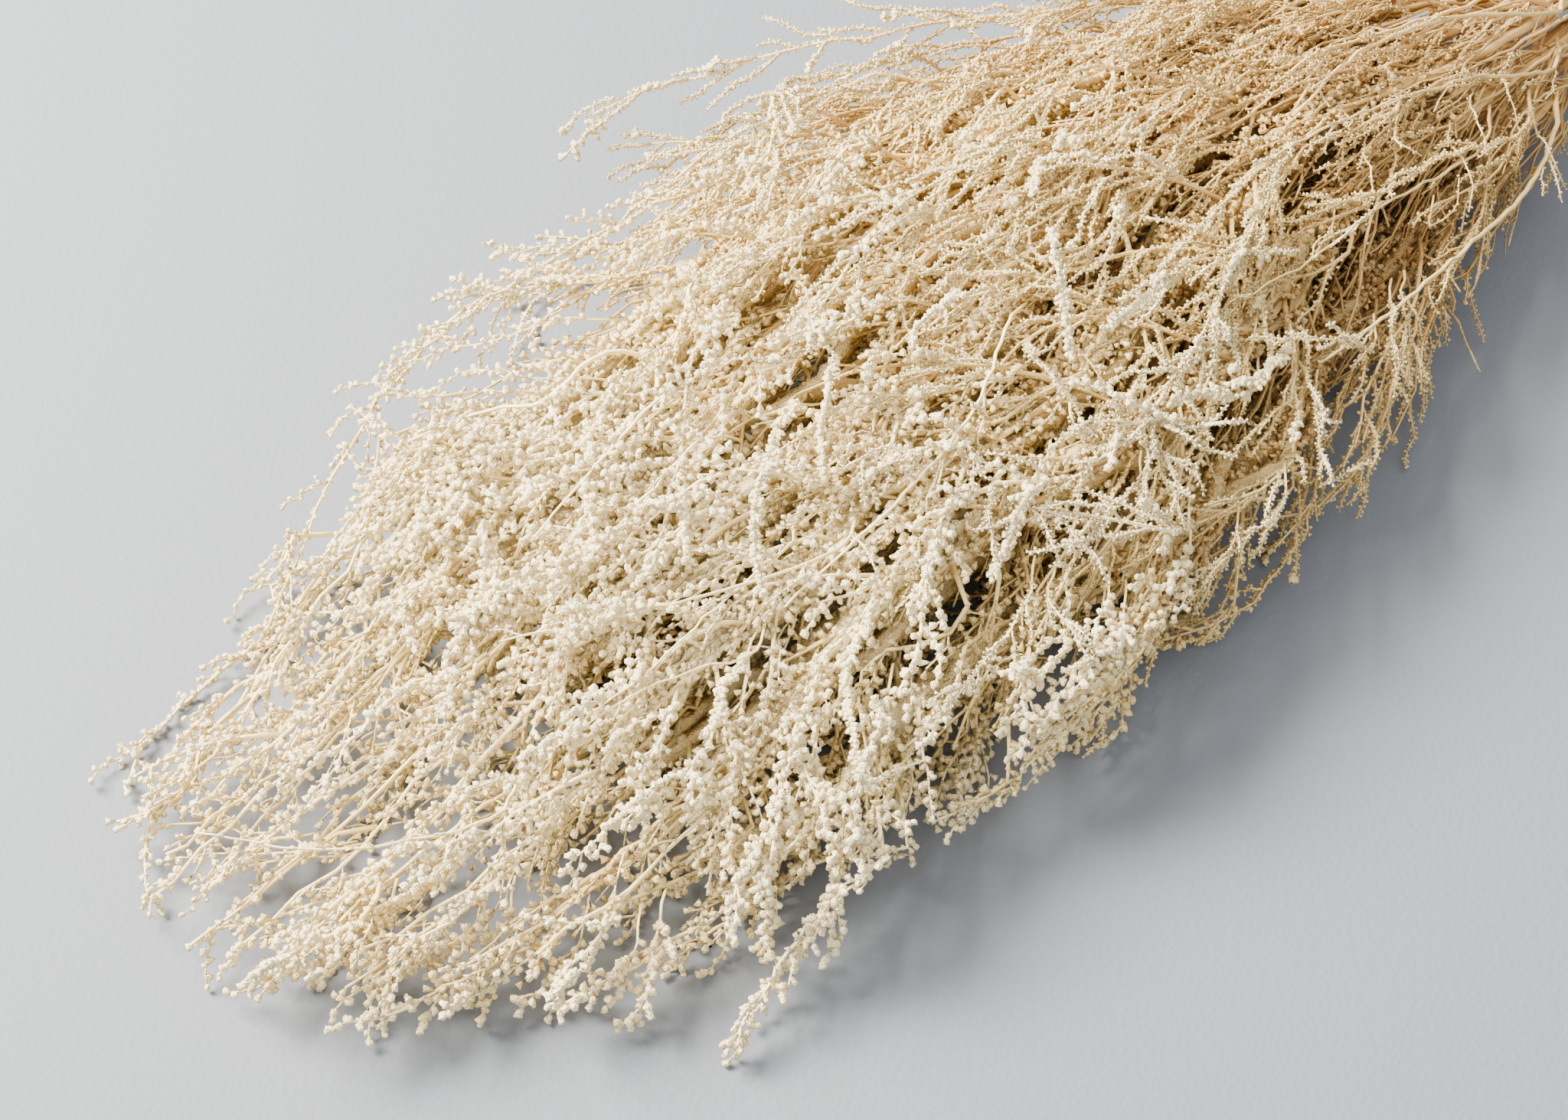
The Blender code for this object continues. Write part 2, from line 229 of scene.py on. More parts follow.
@dataclass(frozen=True)
class Bunch:
    """The shape of the whole bunch and each stem's place in it."""

    stem_count: int = 22
    stem_radius: float = 0.00195
    pitch: float = 0.0042
    butt_y: float = -0.066
    butt_stagger: float = 0.009
    tie_half_y: float = 0.010
    bundle_radius: float = 0.009623
    stations: tuple[float, ...] = (-0.075, -0.012, 0.012, 0.05, 0.11, 0.18, 0.27, 0.38, 0.50, 0.60, 0.70)
    half_width: tuple[float, ...] = (
        0.0120, 0.00963, 0.00963, 0.0130, 0.0240, 0.0440, 0.0680, 0.0850, 0.0840, 0.0600, 0.0480,
    )
    half_height: tuple[float, ...] = (
        0.0105, 0.00963, 0.00963, 0.0120, 0.0180, 0.0270, 0.0340, 0.0330, 0.0240, 0.0130, 0.0110,
    )
    mid_x: tuple[float, ...] = (0.0, 0.0, 0.0, 0.0, 0.002, 0.007, 0.016, 0.016, 0.013, 0.008, 0.008)
    mid_z: tuple[float, ...] = (
        0.0138, 0.0143, 0.0143, 0.0157, 0.0230, 0.0320, 0.0385, 0.0375, 0.0285, 0.0165, 0.0140,
    )
    sag: tuple[float, ...] = (0.0, 0.0, 0.0, 0.05, 0.15, 0.25, 0.32, 0.34, 0.30, 0.20, 0.10)
    wander: float = 0.15
    wander_wave: float = 0.23
    wanders: Rise = Rise(0.03, 0.12)
    front_y: float = 0.640
    front_x: float = 0.020
    front_curve: float = 11.0
    reach_spread: float = 0.025
    seeds: Array = field(init=False, repr=False, compare=False)

    def __post_init__(self) -> None:
        """Works out where the stems stand in the tie: the innermost places of a close packing."""
        places = []
        for row in range(-5, 6):
            for column in range(-5, 6):
                x = (column + 0.5 * (row % 2) + 0.5) * self.pitch
                z = row * self.pitch * math.sqrt(3) / 2
                places.append((round(math.hypot(x, z), 6), math.atan2(z, x), x, z))
        places.sort()
        object.__setattr__(self, "seeds", np.array([(x, z) for _, _, x, z in places[: self.stem_count]]))
        object.__setattr__(self, "bundle_radius", float(np.hypot(*self.seeds.T).max()))

    def read(self, values: tuple[float, ...], y: float | Array) -> float | Array:
        """One of the shape's own lines at y."""
        return smooth_line(self.stations, values, y)

    def seed_at(self, stem: int, y: float | Array) -> Array:
        """A stem's place in the section that the tie has, with its wandering further on.

        Args:
            stem: The stem's index.
            y: Where along the bunch.

        Returns:
            The place across and up, one row for each y.
        """
        turn = random.Random(WANDER_SEED + stem).uniform(0, FULL_TURN)
        reach = self.wander * self.pitch * self.wanders.at(y)
        swing = FULL_TURN * np.asarray(y) / self.wander_wave
        x, z = self.seeds[stem]
        return np.stack((x + reach * np.sin(swing + turn), z + reach * np.cos(0.8 * swing + 2 * turn)), axis=-1)

    def stretch(self, y: float | Array, height: float | Array) -> tuple[Array, Array]:
        """How much wider and higher the section at y is than at the tie.

        Args:
            y: Where along the bunch.
            height: The place in the tie's section, up from its middle. The bunch is widest low down.

        Returns:
            The two factors, across and up.
        """
        across = self.read(self.half_width, y) / self.bundle_radius
        across = across * (1 - self.read(self.sag, y) * height / self.bundle_radius)
        return across, self.read(self.half_height, y) / self.bundle_radius

    def stem_point(self, stem: int, y: float | Array) -> Array:
        """The stem's middle at y."""
        seed = self.seed_at(stem, y)
        across, up = self.stretch(y, seed[..., 1])
        return np.stack(
            (
                self.read(self.mid_x, y) + seed[..., 0] * across,
                np.asarray(y) + 0 * across,
                self.read(self.mid_z, y) + seed[..., 1] * up,
            ),
            axis=-1,
        )

    def reach(self, stem: int) -> float:
        """How far along the bunch a stem's own tip lies: the front is an arc."""
        side = float(self.stem_point(stem, self.front_y)[0]) - self.front_x
        short = self.reach_spread * random.Random(REACH_SEED + stem).random()
        return self.front_y - self.front_curve * side * side - short

    def is_outer(self, stem: int) -> bool:
        """Whether the stem stands on the outside of the bunch, with fewer than six others round it."""
        gaps = np.hypot(*(self.seeds - self.seeds[stem]).T)
        return int((gaps < 1.1 * self.pitch).sum()) < 7

    def section(self, points: Array) -> tuple[Array, Array, Array, Array]:
        """Points in the tie's section.

        Args:
            points: Places in the bunch, one a row.

        Returns:
            Their places across and up in the tie's section, and the two stretches there.
        """
        x, y, z = points.T
        up = self.read(self.half_height, y) / self.bundle_radius
        v = (z - self.read(self.mid_z, y)) / up
        across = self.stretch(y, v)[0]
        return (x - self.read(self.mid_x, y)) / across, v, across, up

    def outward(self, points: Array) -> Array:
        """The direction out of the bunch at each place, square to the bunch's length."""
        u, v, across, up = self.section(points)
        return unit(np.stack((u * across, 0 * u, v * up), axis=-1))

    def depth(self, points: Array, skin: float = 1.34) -> Array:
        """How deep points lie inside the bunch.

        Args:
            points: Places in the bunch, one a row.
            skin: The outside of the mass, as a share of the outermost stems' distance from the middle.

        Returns:
            The depth in metres, below 0 for what stands out of the mass.
        """
        u, v, across, up = self.section(points)
        out = np.maximum(np.hypot(u, v), 1e-5)
        steepness = np.maximum(np.hypot(u / across, v / up) / out, 0.02)
        sideways = (skin * self.bundle_radius - out) / steepness
        side = points[:, 0] - self.front_x
        forward = self.front_y - self.front_curve * side * side - points[:, 1]
        return np.minimum(sideways, forward)

    def kept_clear(self, stem: int, points: Array, radius: float, fringe: float | Array, room: float) -> Array:
        """The points, moved back where a twig would leave its stem's share, the bunch or the surface.

        Args:
            stem: The stem that the twig grows on.
            points: The twig's points, one a row.
            radius: The room that the twig takes up.
            fringe: How far past the outermost stems it may stand, as a share of their distance.
            room: What is left between it and its neighbours. CROSSING lets it reach in among them.

        Returns:
            The points in their kept places.
        """
        x, y, z = (np.array(column) for column in points.T)
        mid_x, mid_z = self.read(self.mid_x, y), self.read(self.mid_z, y)
        up = self.read(self.half_height, y) / self.bundle_radius
        own = self.seed_at(stem, y)
        others = [self.seed_at(other, y) for other in range(self.stem_count) if other != stem]
        for _ in range(8):
            across = self.stretch(y, (z - mid_z) / up)[0]
            out = np.hypot((x - mid_x) / across, (z - mid_z) / up) / self.bundle_radius / (1 + fringe)
            over = np.maximum(out, 1.0)
            x, z = mid_x + (x - mid_x) / over, mid_z + (z - mid_z) / over
            if room > CROSSING:
                for other in others:
                    toward = other - own
                    normal = toward / np.stack((across, up), axis=-1)
                    steepness = np.linalg.norm(normal, axis=-1)
                    here = np.stack(((x - mid_x) / across, (z - mid_z) / up), axis=-1)
                    left = (((own + other) / 2 - here) * toward).sum(axis=-1) / steepness
                    back = np.minimum(left - radius - room, 0.0) / steepness
                    x, z = x + normal[:, 0] * back, z + normal[:, 1] * back
            z = np.maximum(z, radius)
        return np.stack((x, y, z), axis=-1)


BUNCH = Bunch()


class Dress(Enum):
    """What grows on a spray that is listed one by one and laid on the mass."""

    KNOBS = "knobs"
    FURRY = "furry"
    CLUSTER = "cluster"
    BARE = "bare"
    STUB = "stub"
    TWIGLET = "twiglet"


KNOBS, FURRY, CLUSTER, BARE, STUB, TWIGLET = Dress


@dataclass
class Twig:
    """One twig as a line of points with a radius at each, from its root to its tip."""

    points: Array
    radii: Array
    level: int
    fringe: float
    dress: Dress | None = None
    tone: float = 0.5

    def __post_init__(self) -> None:
        """Measures along the line."""
        self.run = run_along(self.points)

    @property
    def length(self) -> float:
        """The length along the twig."""
        return float(self.run[-1])

    def at(self, run: Array) -> Array:
        """The places that far along the twig."""
        return places_at(run, self.run, self.points)

    def place(self, share: float) -> Array:
        """The place at that share of the twig's length, as one row."""
        return self.at(np.array([self.length * share]))

    def heading(self, run: Array) -> Array:
        """The twig's direction that far along it."""
        step = 0.0015
        return unit(self.at(np.minimum(run + step, self.length)) - self.at(np.maximum(run - step, 0.0)))


class TuftKind(Enum):
    """The leaf tufts: a shape that is modelled once, and how its copies lie."""

    GRAINY_KNOB = "grainy_knob"
    LOBED_KNOB = "lobed_knob"
    INNER_KNOB = "inner_knob"
    SCALE = "scale"


@dataclass(frozen=True)
class TuftPattern:
    """One leaf tuft, modelled once. It stands on the origin along +Z and is about 1 m across, and each copy has its
    own size."""

    kind: TuftKind
    squash: Point
    rough: float
    stalk: float = 0.0
    seed: int = 1
    lobes: float = 0.0

    def lobe(self, tuft: bpy.types.Object) -> None:
        """Draws every third point of the tuft outwards and the rest in a little, so that it has lobes. The tuft is in
        edit mode before and after.

        Args:
            tuft: The tuft.
        """
        for left, factor in ((0, 1 + self.lobes), (1, 1 - 0.5 * self.lobes)):
            bpy.ops.mesh.select_all(action="DESELECT")
            bpy.ops.object.mode_set(mode="OBJECT")
            for vertex in tuft.data.vertices:
                vertex.select = vertex.index % 3 == left
            bpy.ops.object.mode_set(mode="EDIT")
            bpy.ops.transform.resize(value=(factor,) * 3, center_override=(0, 0, 0))
        bpy.ops.mesh.select_all(action="SELECT")

    def modelled(self) -> tuple[Array, Array]:
        """Models the tuft.

        Returns:
            Its vertices and its triangles.
        """
        bare_selection()
        if self.kind is TuftKind.SCALE:
            bpy.ops.mesh.primitive_cone_add(vertices=3, radius1=0.0, radius2=0.5, depth=1.0)
        elif self.kind is TuftKind.INNER_KNOB:
            bpy.ops.mesh.primitive_uv_sphere_add(segments=3, ring_count=3, radius=0.5)
        elif self.kind is TuftKind.GRAINY_KNOB:
            bpy.ops.mesh.primitive_uv_sphere_add(segments=6, ring_count=5, radius=0.5)
        else:
            bpy.ops.mesh.primitive_ico_sphere_add(subdivisions=1, radius=0.5)
        tuft = bpy.context.object
        edit_all()
        bpy.ops.transform.vertex_random(offset=self.rough, uniform=0.6, normal=0.3, seed=self.seed)
        self.lobe(tuft)
        bpy.ops.transform.resize(value=self.squash)
        bpy.ops.transform.translate(value=(0, 0, 0.5 * self.squash[2]))
        bpy.ops.mesh.select_all(action="DESELECT")
        bpy.ops.object.mode_set(mode="OBJECT")
        foot = min(tuft.data.vertices, key=lambda vertex: vertex.co.z)
        foot.select = True
        bpy.ops.object.mode_set(mode="EDIT")
        bpy.ops.transform.translate(value=(-foot.co.x, -foot.co.y, -self.stalk))
        bpy.ops.mesh.select_all(action="SELECT")
        bpy.ops.mesh.quads_convert_to_tris()
        bpy.ops.mesh.normals_make_consistent(inside=False)
        bpy.ops.object.mode_set(mode="OBJECT")
        places = np.array([vertex.co[:] for vertex in tuft.data.vertices])
        faces = np.array([face.vertices[:] for face in tuft.data.polygons])
        old = tuft.data
        bpy.data.objects.remove(tuft, do_unlink=True)
        bpy.data.meshes.remove(old)
        return places, faces


PATTERNS: tuple[TuftPattern, ...] = (
    TuftPattern(TuftKind.GRAINY_KNOB, (1.0, 1.0, 0.98), 0.07, stalk=0.10, seed=3, lobes=0.22),
    TuftPattern(TuftKind.GRAINY_KNOB, (0.90, 0.96, 1.16), 0.08, stalk=0.16, seed=7, lobes=0.26),
    TuftPattern(TuftKind.GRAINY_KNOB, (1.12, 0.88, 0.95), 0.09, stalk=0.12, seed=11, lobes=0.24),
    TuftPattern(TuftKind.LOBED_KNOB, (1.0, 1.0, 0.98), 0.10, stalk=0.10, seed=3, lobes=0.24),
    TuftPattern(TuftKind.LOBED_KNOB, (0.90, 0.96, 1.14), 0.13, stalk=0.16, seed=7, lobes=0.22),
    TuftPattern(TuftKind.INNER_KNOB, (1.08, 1.08, 1.04), 0.10, stalk=0.10, seed=4, lobes=0.10),
    TuftPattern(TuftKind.SCALE, (0.95, 0.80, 1.05), 0.03, seed=5),
)
OUTER_KNOBS = (0, 1, 2)
SECOND_KNOBS = (3, 4)
INNER_KNOBS = (5,)
SCALES = (6,)


@dataclass
class Tufts:
    """Where a stem's tufts stand. Each one has a root, a direction, a size, a tone of its own and a kind."""

    roots: list[Array] = field(default_factory=list)
    directions: list[Array] = field(default_factory=list)
    sizes: list[Array] = field(default_factory=list)
    kinds: list[Array] = field(default_factory=list)
    tones: list[Array] = field(default_factory=list)

    def add(self, roots: Array, directions: Array, sizes: Array, kinds: Array, tone: float = 0.5) -> None:
        """Adds tufts, one a row, round a tone that they share."""
        self.tones.append(np.full(len(roots), tone))
        self.roots.append(roots)
        self.directions.append(directions)
        self.sizes.append(sizes)
        self.kinds.append(kinds)

    def stamped(self, name: str, shapes: list[tuple[Array, Array]], rng: np.random.Generator) -> bpy.types.Object:
        """Copies each tuft's shape to its place, all in one mesh.

        Args:
            name: The new object's name.
            shapes: The modelled shape of each kind, in the order of the patterns.
            rng: Turns each copy about its own direction.

        Returns:
            The object, with the tuft's own tone on its vertices.
        """
        roots, directions = np.concatenate(self.roots), np.concatenate(self.directions)
        sizes, kinds = np.concatenate(self.sizes), np.concatenate(self.kinds)
        side = beside(directions, rng.uniform(0, FULL_TURN, len(roots)))
        axes = np.stack((side, np.cross(directions, side), directions), axis=-1) * sizes[:, None, None]
        tones = np.clip(np.concatenate(self.tones) + rng.uniform(-0.25, 0.25, len(roots)), 0, 1)
        places, faces, tone, count = [], [], [], 0
        for kind, (shape, triangles) in enumerate(shapes):
            chosen = np.flatnonzero(kinds == kind)
            if not len(chosen):
                continue
            moved = np.einsum("nij,vj->nvi", axes[chosen], shape) + roots[chosen][:, None]
            places.append(moved.reshape(-1, 3))
            offsets = count + len(shape) * np.arange(len(chosen))
            faces.append((triangles[None] + offsets[:, None, None]).reshape(-1, 3))
            tone.append(np.repeat(tones[chosen], len(shape)))
            count += len(moved) * len(shape)
        mesh = bpy.data.meshes.new(name)
        mesh.from_pydata(np.concatenate(places), [], np.concatenate(faces))
        mesh.attributes.new("tone", "FLOAT", "POINT").data.foreach_set("value", np.concatenate(tone))
        obj = bpy.data.objects.new(name, mesh)
        bpy.context.scene.collection.objects.link(obj)
        return obj


@dataclass(frozen=True)
class TwigOutline:
    """The round outline that a twig's tube is drawn with."""

    name: str
    sides: int

    def made(self) -> bpy.types.Object:
        """Makes the outline, 1 m in radius, as a closed curve that the tubes scale down.

        Returns:
            The curve object.
        """
        bare_selection()
        bpy.ops.curve.primitive_bezier_circle_add(radius=1.0)
        outline = bpy.context.object
        outline.name = self.name
        outline.data.splines.clear()
        spline = outline.data.splines.new("POLY")
        spline.points.add(self.sides - 1)
        for i in range(self.sides):
            angle = -FULL_TURN * i / self.sides
            spline.points[i].co = (math.cos(angle), math.sin(angle), 0, 1)
        spline.use_cyclic_u = True
        outline.hide_render = True
        return outline


def tubes(name: str, lines: list[tuple[Array, Array]], outline: bpy.types.Object) -> bpy.types.Object:
    """Draws a closed tube along each line, and makes them one mesh.

    Args:
        name: The new object's name.
        lines: The points and radii of each tube.
        outline: The curve that gives the tubes their sides.

    Returns:
        The mesh object.
    """
    curve = bpy.data.curves.new(name, "CURVE")
    curve.dimensions = "3D"
    curve.bevel_mode = "OBJECT"
    curve.bevel_object = outline
    curve.use_fill_caps = True
    for points, radii in lines:
        spline = curve.splines.new("POLY")
        spline.points.add(len(points) - 1)
        spline.points.foreach_set("co", np.column_stack((points, np.ones(len(points)))).ravel())
        spline.points.foreach_set("radius", radii)
    obj = bpy.data.objects.new(name, curve)
    bpy.context.scene.collection.objects.link(obj)
    pick_only(obj)
    bpy.ops.object.convert(target="MESH")
    made = bpy.context.object
    edit_all()
    bpy.ops.mesh.remove_doubles(threshold=1e-6)
    bpy.ops.object.mode_set(mode="OBJECT")
    return made


@dataclass(frozen=True)
class Graph:
    """A node tree that nodes are added to, each one joined up as it comes."""

    tree: bpy.types.NodeTree

    def feed(self, node: bpy.types.Node, inputs: Inputs) -> None:
        """Gives a node's inputs what they get.

        Args:
            node: The node.
            inputs: For each input, the socket that feeds it or its own value.
        """
        for name, given in inputs.items():
            if isinstance(given, Socket):
                self.tree.links.new(given, node.inputs[name])
            else:
                node.inputs[name].default_value = given

    def add(self, kind: str, out: str | int, inputs: Inputs, **settings: object) -> Socket:
        """Adds a node.

        Args:
            kind: Its type, without the word ShaderNode.
            out: The output that is used.
            inputs: For each input, the socket that feeds it or its own value.
            settings: Its own settings.

        Returns:
            The output.
        """
        node = self.tree.nodes.new("ShaderNode" + kind)
        for name, value in settings.items():
            setattr(node, name, value)
        self.feed(node, inputs)
        return node.outputs[out]

    def ramp(self, fac: Socket, stops: tuple[tuple[float, Colour], ...]) -> Socket:
        """Adds a colour ramp.

        Args:
            fac: What it reads.
            stops: Its positions and colours.

        Returns:
            Its colour.
        """
        colour = self.add("ValToRGB", "Color", {"Fac": fac})
        elements = colour.node.color_ramp.elements
        while len(elements) < len(stops):
            elements.new(0.5)
        for element, (position, shade) in zip(elements, stops):
            element.position, element.color = position, shade
        return colour

    def bump(self, height: Socket, strength: float, depth: float, invert: bool = False) -> Socket:
        """Adds bump from a height, and gives its normal."""
        inputs = {"Strength": strength, "Distance": depth, "Height": height}
        return self.add("Bump", "Normal", inputs, invert=invert)


def started_group(
    name: str, inputs: dict[str, float | Point], output: str, kind: str
) -> tuple[Graph, bpy.types.NodeOutputs, bpy.types.Node]:
    """Starts a shader node group.

    Args:
        name: Its name.
        inputs: Its inputs with their default values.
        output: The name of its output.
        kind: The output's type, without the word NodeSocket.

    Returns:
        The group, the sockets that bring its inputs, and the node that takes its output.
    """
    tree = bpy.data.node_groups.new(name, "ShaderNodeTree")
    for label, value in inputs.items():
        socket = "NodeSocketVector" if isinstance(value, tuple) else "NodeSocketFloat"
        tree.interface.new_socket(label, in_out="INPUT", socket_type=socket).default_value = value
    tree.interface.new_socket(output, in_out="OUTPUT", socket_type="NodeSocket" + kind)
    return Graph(tree), tree.nodes.new("NodeGroupInput").outputs, tree.nodes.new("NodeGroupOutput")


def started_material(
    name: str, seen: Colour, roughness: float, specular: float
) -> tuple[bpy.types.Material, Graph, bpy.types.Node]:
    """Starts a material.

    Args:
        name: Its name.
        seen: Its colour where nothing is rendered.
        roughness: Its roughness.
        specular: The strength of its shine.

    Returns:
        The material, its graph and its shader.
    """
    made = bpy.data.materials.new(name)
    made.use_nodes = True
    made.diffuse_color = seen
    graph, shader = Graph(made.node_tree), made.node_tree.nodes["Principled BSDF"]
    graph.feed(shader, {"Roughness": roughness, "Specular IOR Level": specular})
    return made, graph, shader


@dataclass(frozen=True)
class BleachAndShadeGroup:
    """A shader node group: the colour of dried, bleached plant matter, from amber to white. It reads a mark that
    holds the bleaching together with painted shade, amber in the depth of the bunch, and painted light on top."""

    name: str = "bleach_and_shade_colour"
    detail: float = 3.0
    # The amber stops are what the painted shade in the depth reaches.
    stops: tuple[tuple[float, Colour], ...] = (
        (0.0, (0.50, 0.265, 0.085, 1)),
        (0.25, (0.73, 0.475, 0.17, 1)),
        (0.50, (0.88, 0.64, 0.27, 1)),
        (0.75, (0.96, 0.755, 0.335, 1)),
        (1.0, (1.0, 0.855, 0.515, 1)),
    )

    def made(self) -> bpy.types.NodeTree:
        """Builds the group.

        Returns:
            The group's node tree, with inputs Shift, Mottle and Mottle Scale and output Color.
        """
        inputs = {"Shift": 0.0, "Mottle": 0.1, "Mottle Scale": 90.0}
        graph, given, out = started_group(self.name, inputs, "Color", "Color")
        # The mark holds the bleaching and the painted light and shade.
        bleach_and_shading = graph.add("Attribute", "Fac", {}, attribute_name="bleach_and_shading")
        place = graph.add("TexCoord", "Object", {})
        spots = {"Vector": place, "Scale": given["Mottle Scale"], "Detail": self.detail}
        centred = graph.add("Math", 0, {0: graph.add("TexNoise", "Fac", spots), 1: 0.5}, operation="SUBTRACT")
        mottled = graph.add("Math", 0, {0: centred, 1: given["Mottle"], 2: bleach_and_shading}, operation="MULTIPLY_ADD")
        shifted = graph.add("Math", 0, {0: mottled, 1: given["Shift"]}, use_clamp=True)
        graph.feed(out, {"Color": graph.ramp(shifted, self.stops)})
        return graph.tree


@dataclass(frozen=True)
class ReliefGroup:
    """A shader node group: fine relief from noise and grains, which can be drawn out along the bunch."""

    name: str = "fine_relief"
    detail: float = 2.0

    def made(self) -> bpy.types.NodeTree:
        """Builds the group.

        Returns:
            The group's node tree, with inputs Scale and Stretch and output Height.
        """
        inputs = {"Scale": 1000.0, "Stretch": (1.0, 1.0, 1.0)}
        graph, given, out = started_group(self.name, inputs, "Height", "Float")
        place = graph.add("TexCoord", "Object", {})
        drawn = graph.add("VectorMath", "Vector", {0: place, 1: given["Stretch"]}, operation="MULTIPLY")
        grains = graph.add("TexVoronoi", "Distance", {"Vector": drawn, "Scale": given["Scale"]})
        noise = graph.add("TexNoise", "Fac", {"Vector": drawn, "Scale": given["Scale"], "Detail": self.detail})
        graph.feed(out, {"Height": graph.add("Math", 0, {0: noise, 1: grains}, operation="SUBTRACT")})
        return graph.tree


@dataclass(frozen=True)
class PlantFinish:
    """A finish of the dried plant: how bleached it is, how mottled, its relief, and how much painted shade darkens and
    yellows the relief's hollows."""

    name: str
    shift: float
    mottle: float
    mottle_scale: float
    relief_scale: float
    relief_stretch: Point
    relief_depth: float
    roughness: float
    hollow_shade: float
    shine: float = 0.18
    bump: float = 0.8
    seen: Colour = (0.92, 0.86, 0.70, 1)

    def made(self, bleached: bpy.types.NodeTree, relief: bpy.types.NodeTree) -> bpy.types.Material:
        """Builds the material.

        Args:
            bleached: The group that gives the colour, with its painted light and shade.
            relief: The group that gives the height.

        Returns:
            The material.
        """
        made, graph, shader = started_material(self.name, self.seen, self.roughness, self.shine)
        drawn = {"Scale": self.relief_scale, "Stretch": self.relief_stretch}
        height = graph.add("Group", "Height", drawn, node_tree=relief)
        # Painted shade: the hollows of the relief are shifted darker and more amber.
        hollow_shaded = graph.add("Math", 0, {0: height, 1: self.hollow_shade, 2: self.shift}, operation="MULTIPLY_ADD")
        spots = {"Shift": hollow_shaded, "Mottle": self.mottle, "Mottle Scale": self.mottle_scale}
        colour = graph.add("Group", "Color", spots, node_tree=bleached)
        graph.feed(shader, {"Base Color": colour, "Normal": graph.bump(height, self.bump, self.relief_depth)})
        return made


@dataclass(frozen=True)
class TwineFinish:
    """Natural twine: tan fibres that run with the twist, with painted shade that darkens the low parts between them."""

    name: str = "jute_twine"
    groove_shade: Colour = (0.30, 0.19, 0.095, 1)
    light: Colour = (0.66, 0.50, 0.30, 1)
    light_from: float = 0.45
    fibre_scale: float = 1400.0
    fibre_stretch: Point = (1.0, 0.35, 1.0)
    relief_depth: float = 0.00025
    bump: float = 0.9
    roughness: float = 0.92
    shine: float = 0.2

    def made(self, relief: bpy.types.NodeTree) -> bpy.types.Material:
        """Builds the material.

        Args:
            relief: The group that gives the height.

        Returns:
            The material.
        """
        made, graph, shader = started_material(self.name, self.light, self.roughness, self.shine)
        drawn = {"Scale": self.fibre_scale, "Stretch": self.fibre_stretch}
        height = graph.add("Group", "Height", drawn, node_tree=relief)
        # Painted shade: the low parts of the fibre relief get the darker colour.
        colour = graph.ramp(height, ((0.0, self.groove_shade), (self.light_from, self.light)))
        graph.feed(shader, {"Base Color": colour, "Normal": graph.bump(height, self.bump, self.relief_depth)})
        return made


@dataclass(frozen=True)
class PackedFinish:
    """The tangle deep in the bunch: tufts pressed together, yellow on their tops and amber in the gaps between them, a
    painted shade that darkens the whole tangle and most of all its gaps.
    """

    name: str = "shaded_packed_tufts"
    tuft_size: float = 0.0027
    tuft_edge: tuple[float, float] = (0.12, 0.62)
    warp_scale: float = 260.0
    warp: float = 0.0035
    detail: float = 1.0
    relief_depth: float = 0.0016
    bump: float = 1.0
    gap_shade: float = -0.26
    tuft_top_shade: float = -0.10
    mottle: float = 0.2
    mottle_scale: float = 60.0
    roughness: float = 0.95
    shine: float = 0.1
    seen: Colour = (0.80, 0.62, 0.36, 1)

    def made(self, bleached: bpy.types.NodeTree) -> bpy.types.Material:
        """Builds the material.

        Args:
            bleached: The group that gives the colour, with its painted light and shade.

        Returns:
            The material.
        """
        made, graph, shader = started_material(self.name, self.seen, self.roughness, self.shine)
        place = graph.add("TexCoord", "Object", {})
        noise = graph.add("TexNoise", "Color", {"Vector": place, "Scale": self.warp_scale, "Detail": self.detail})
        warped = graph.add("VectorMath", "Vector", {0: noise, 1: (self.warp,) * 3, 2: place}, operation="MULTIPLY_ADD")
        distance = graph.add("TexVoronoi", "Distance", {"Vector": warped, "Scale": 1 / self.tuft_size})
        # Painted shade: darker towards the gaps between the tufts, and a little darker on their tops as well.
        low, high = self.tuft_edge
        edge = {"Value": distance, "From Min": low, "From Max": high}
        edge |= {"To Min": self.tuft_top_shade, "To Max": self.gap_shade}
        dome_shade = graph.add("MapRange", "Result", edge, interpolation_type="SMOOTHSTEP")
        spots = {"Shift": dome_shade, "Mottle": self.mottle, "Mottle Scale": self.mottle_scale}
        colour = graph.add("Group", "Color", spots, node_tree=bleached)
        normal = graph.bump(distance, self.bump, self.relief_depth, invert=True)
        graph.feed(shader, {"Base Color": colour, "Normal": normal})
        return made


# The last number of each is the painted shade in the relief's hollows.
TUFT_FINISH = PlantFinish("bleach_and_shadinged_tufts", 0.10, 0.50, 42.0, 1500.0, (1.0, 1.0, 1.0), 0.0009, 0.9, 0.50)
WOOD_FINISH = PlantFinish("bleached_twigs", -0.02, 0.50, 42.0, 1500.0, (1.0, 0.12, 1.0), 0.00016, 0.75, 0.10)


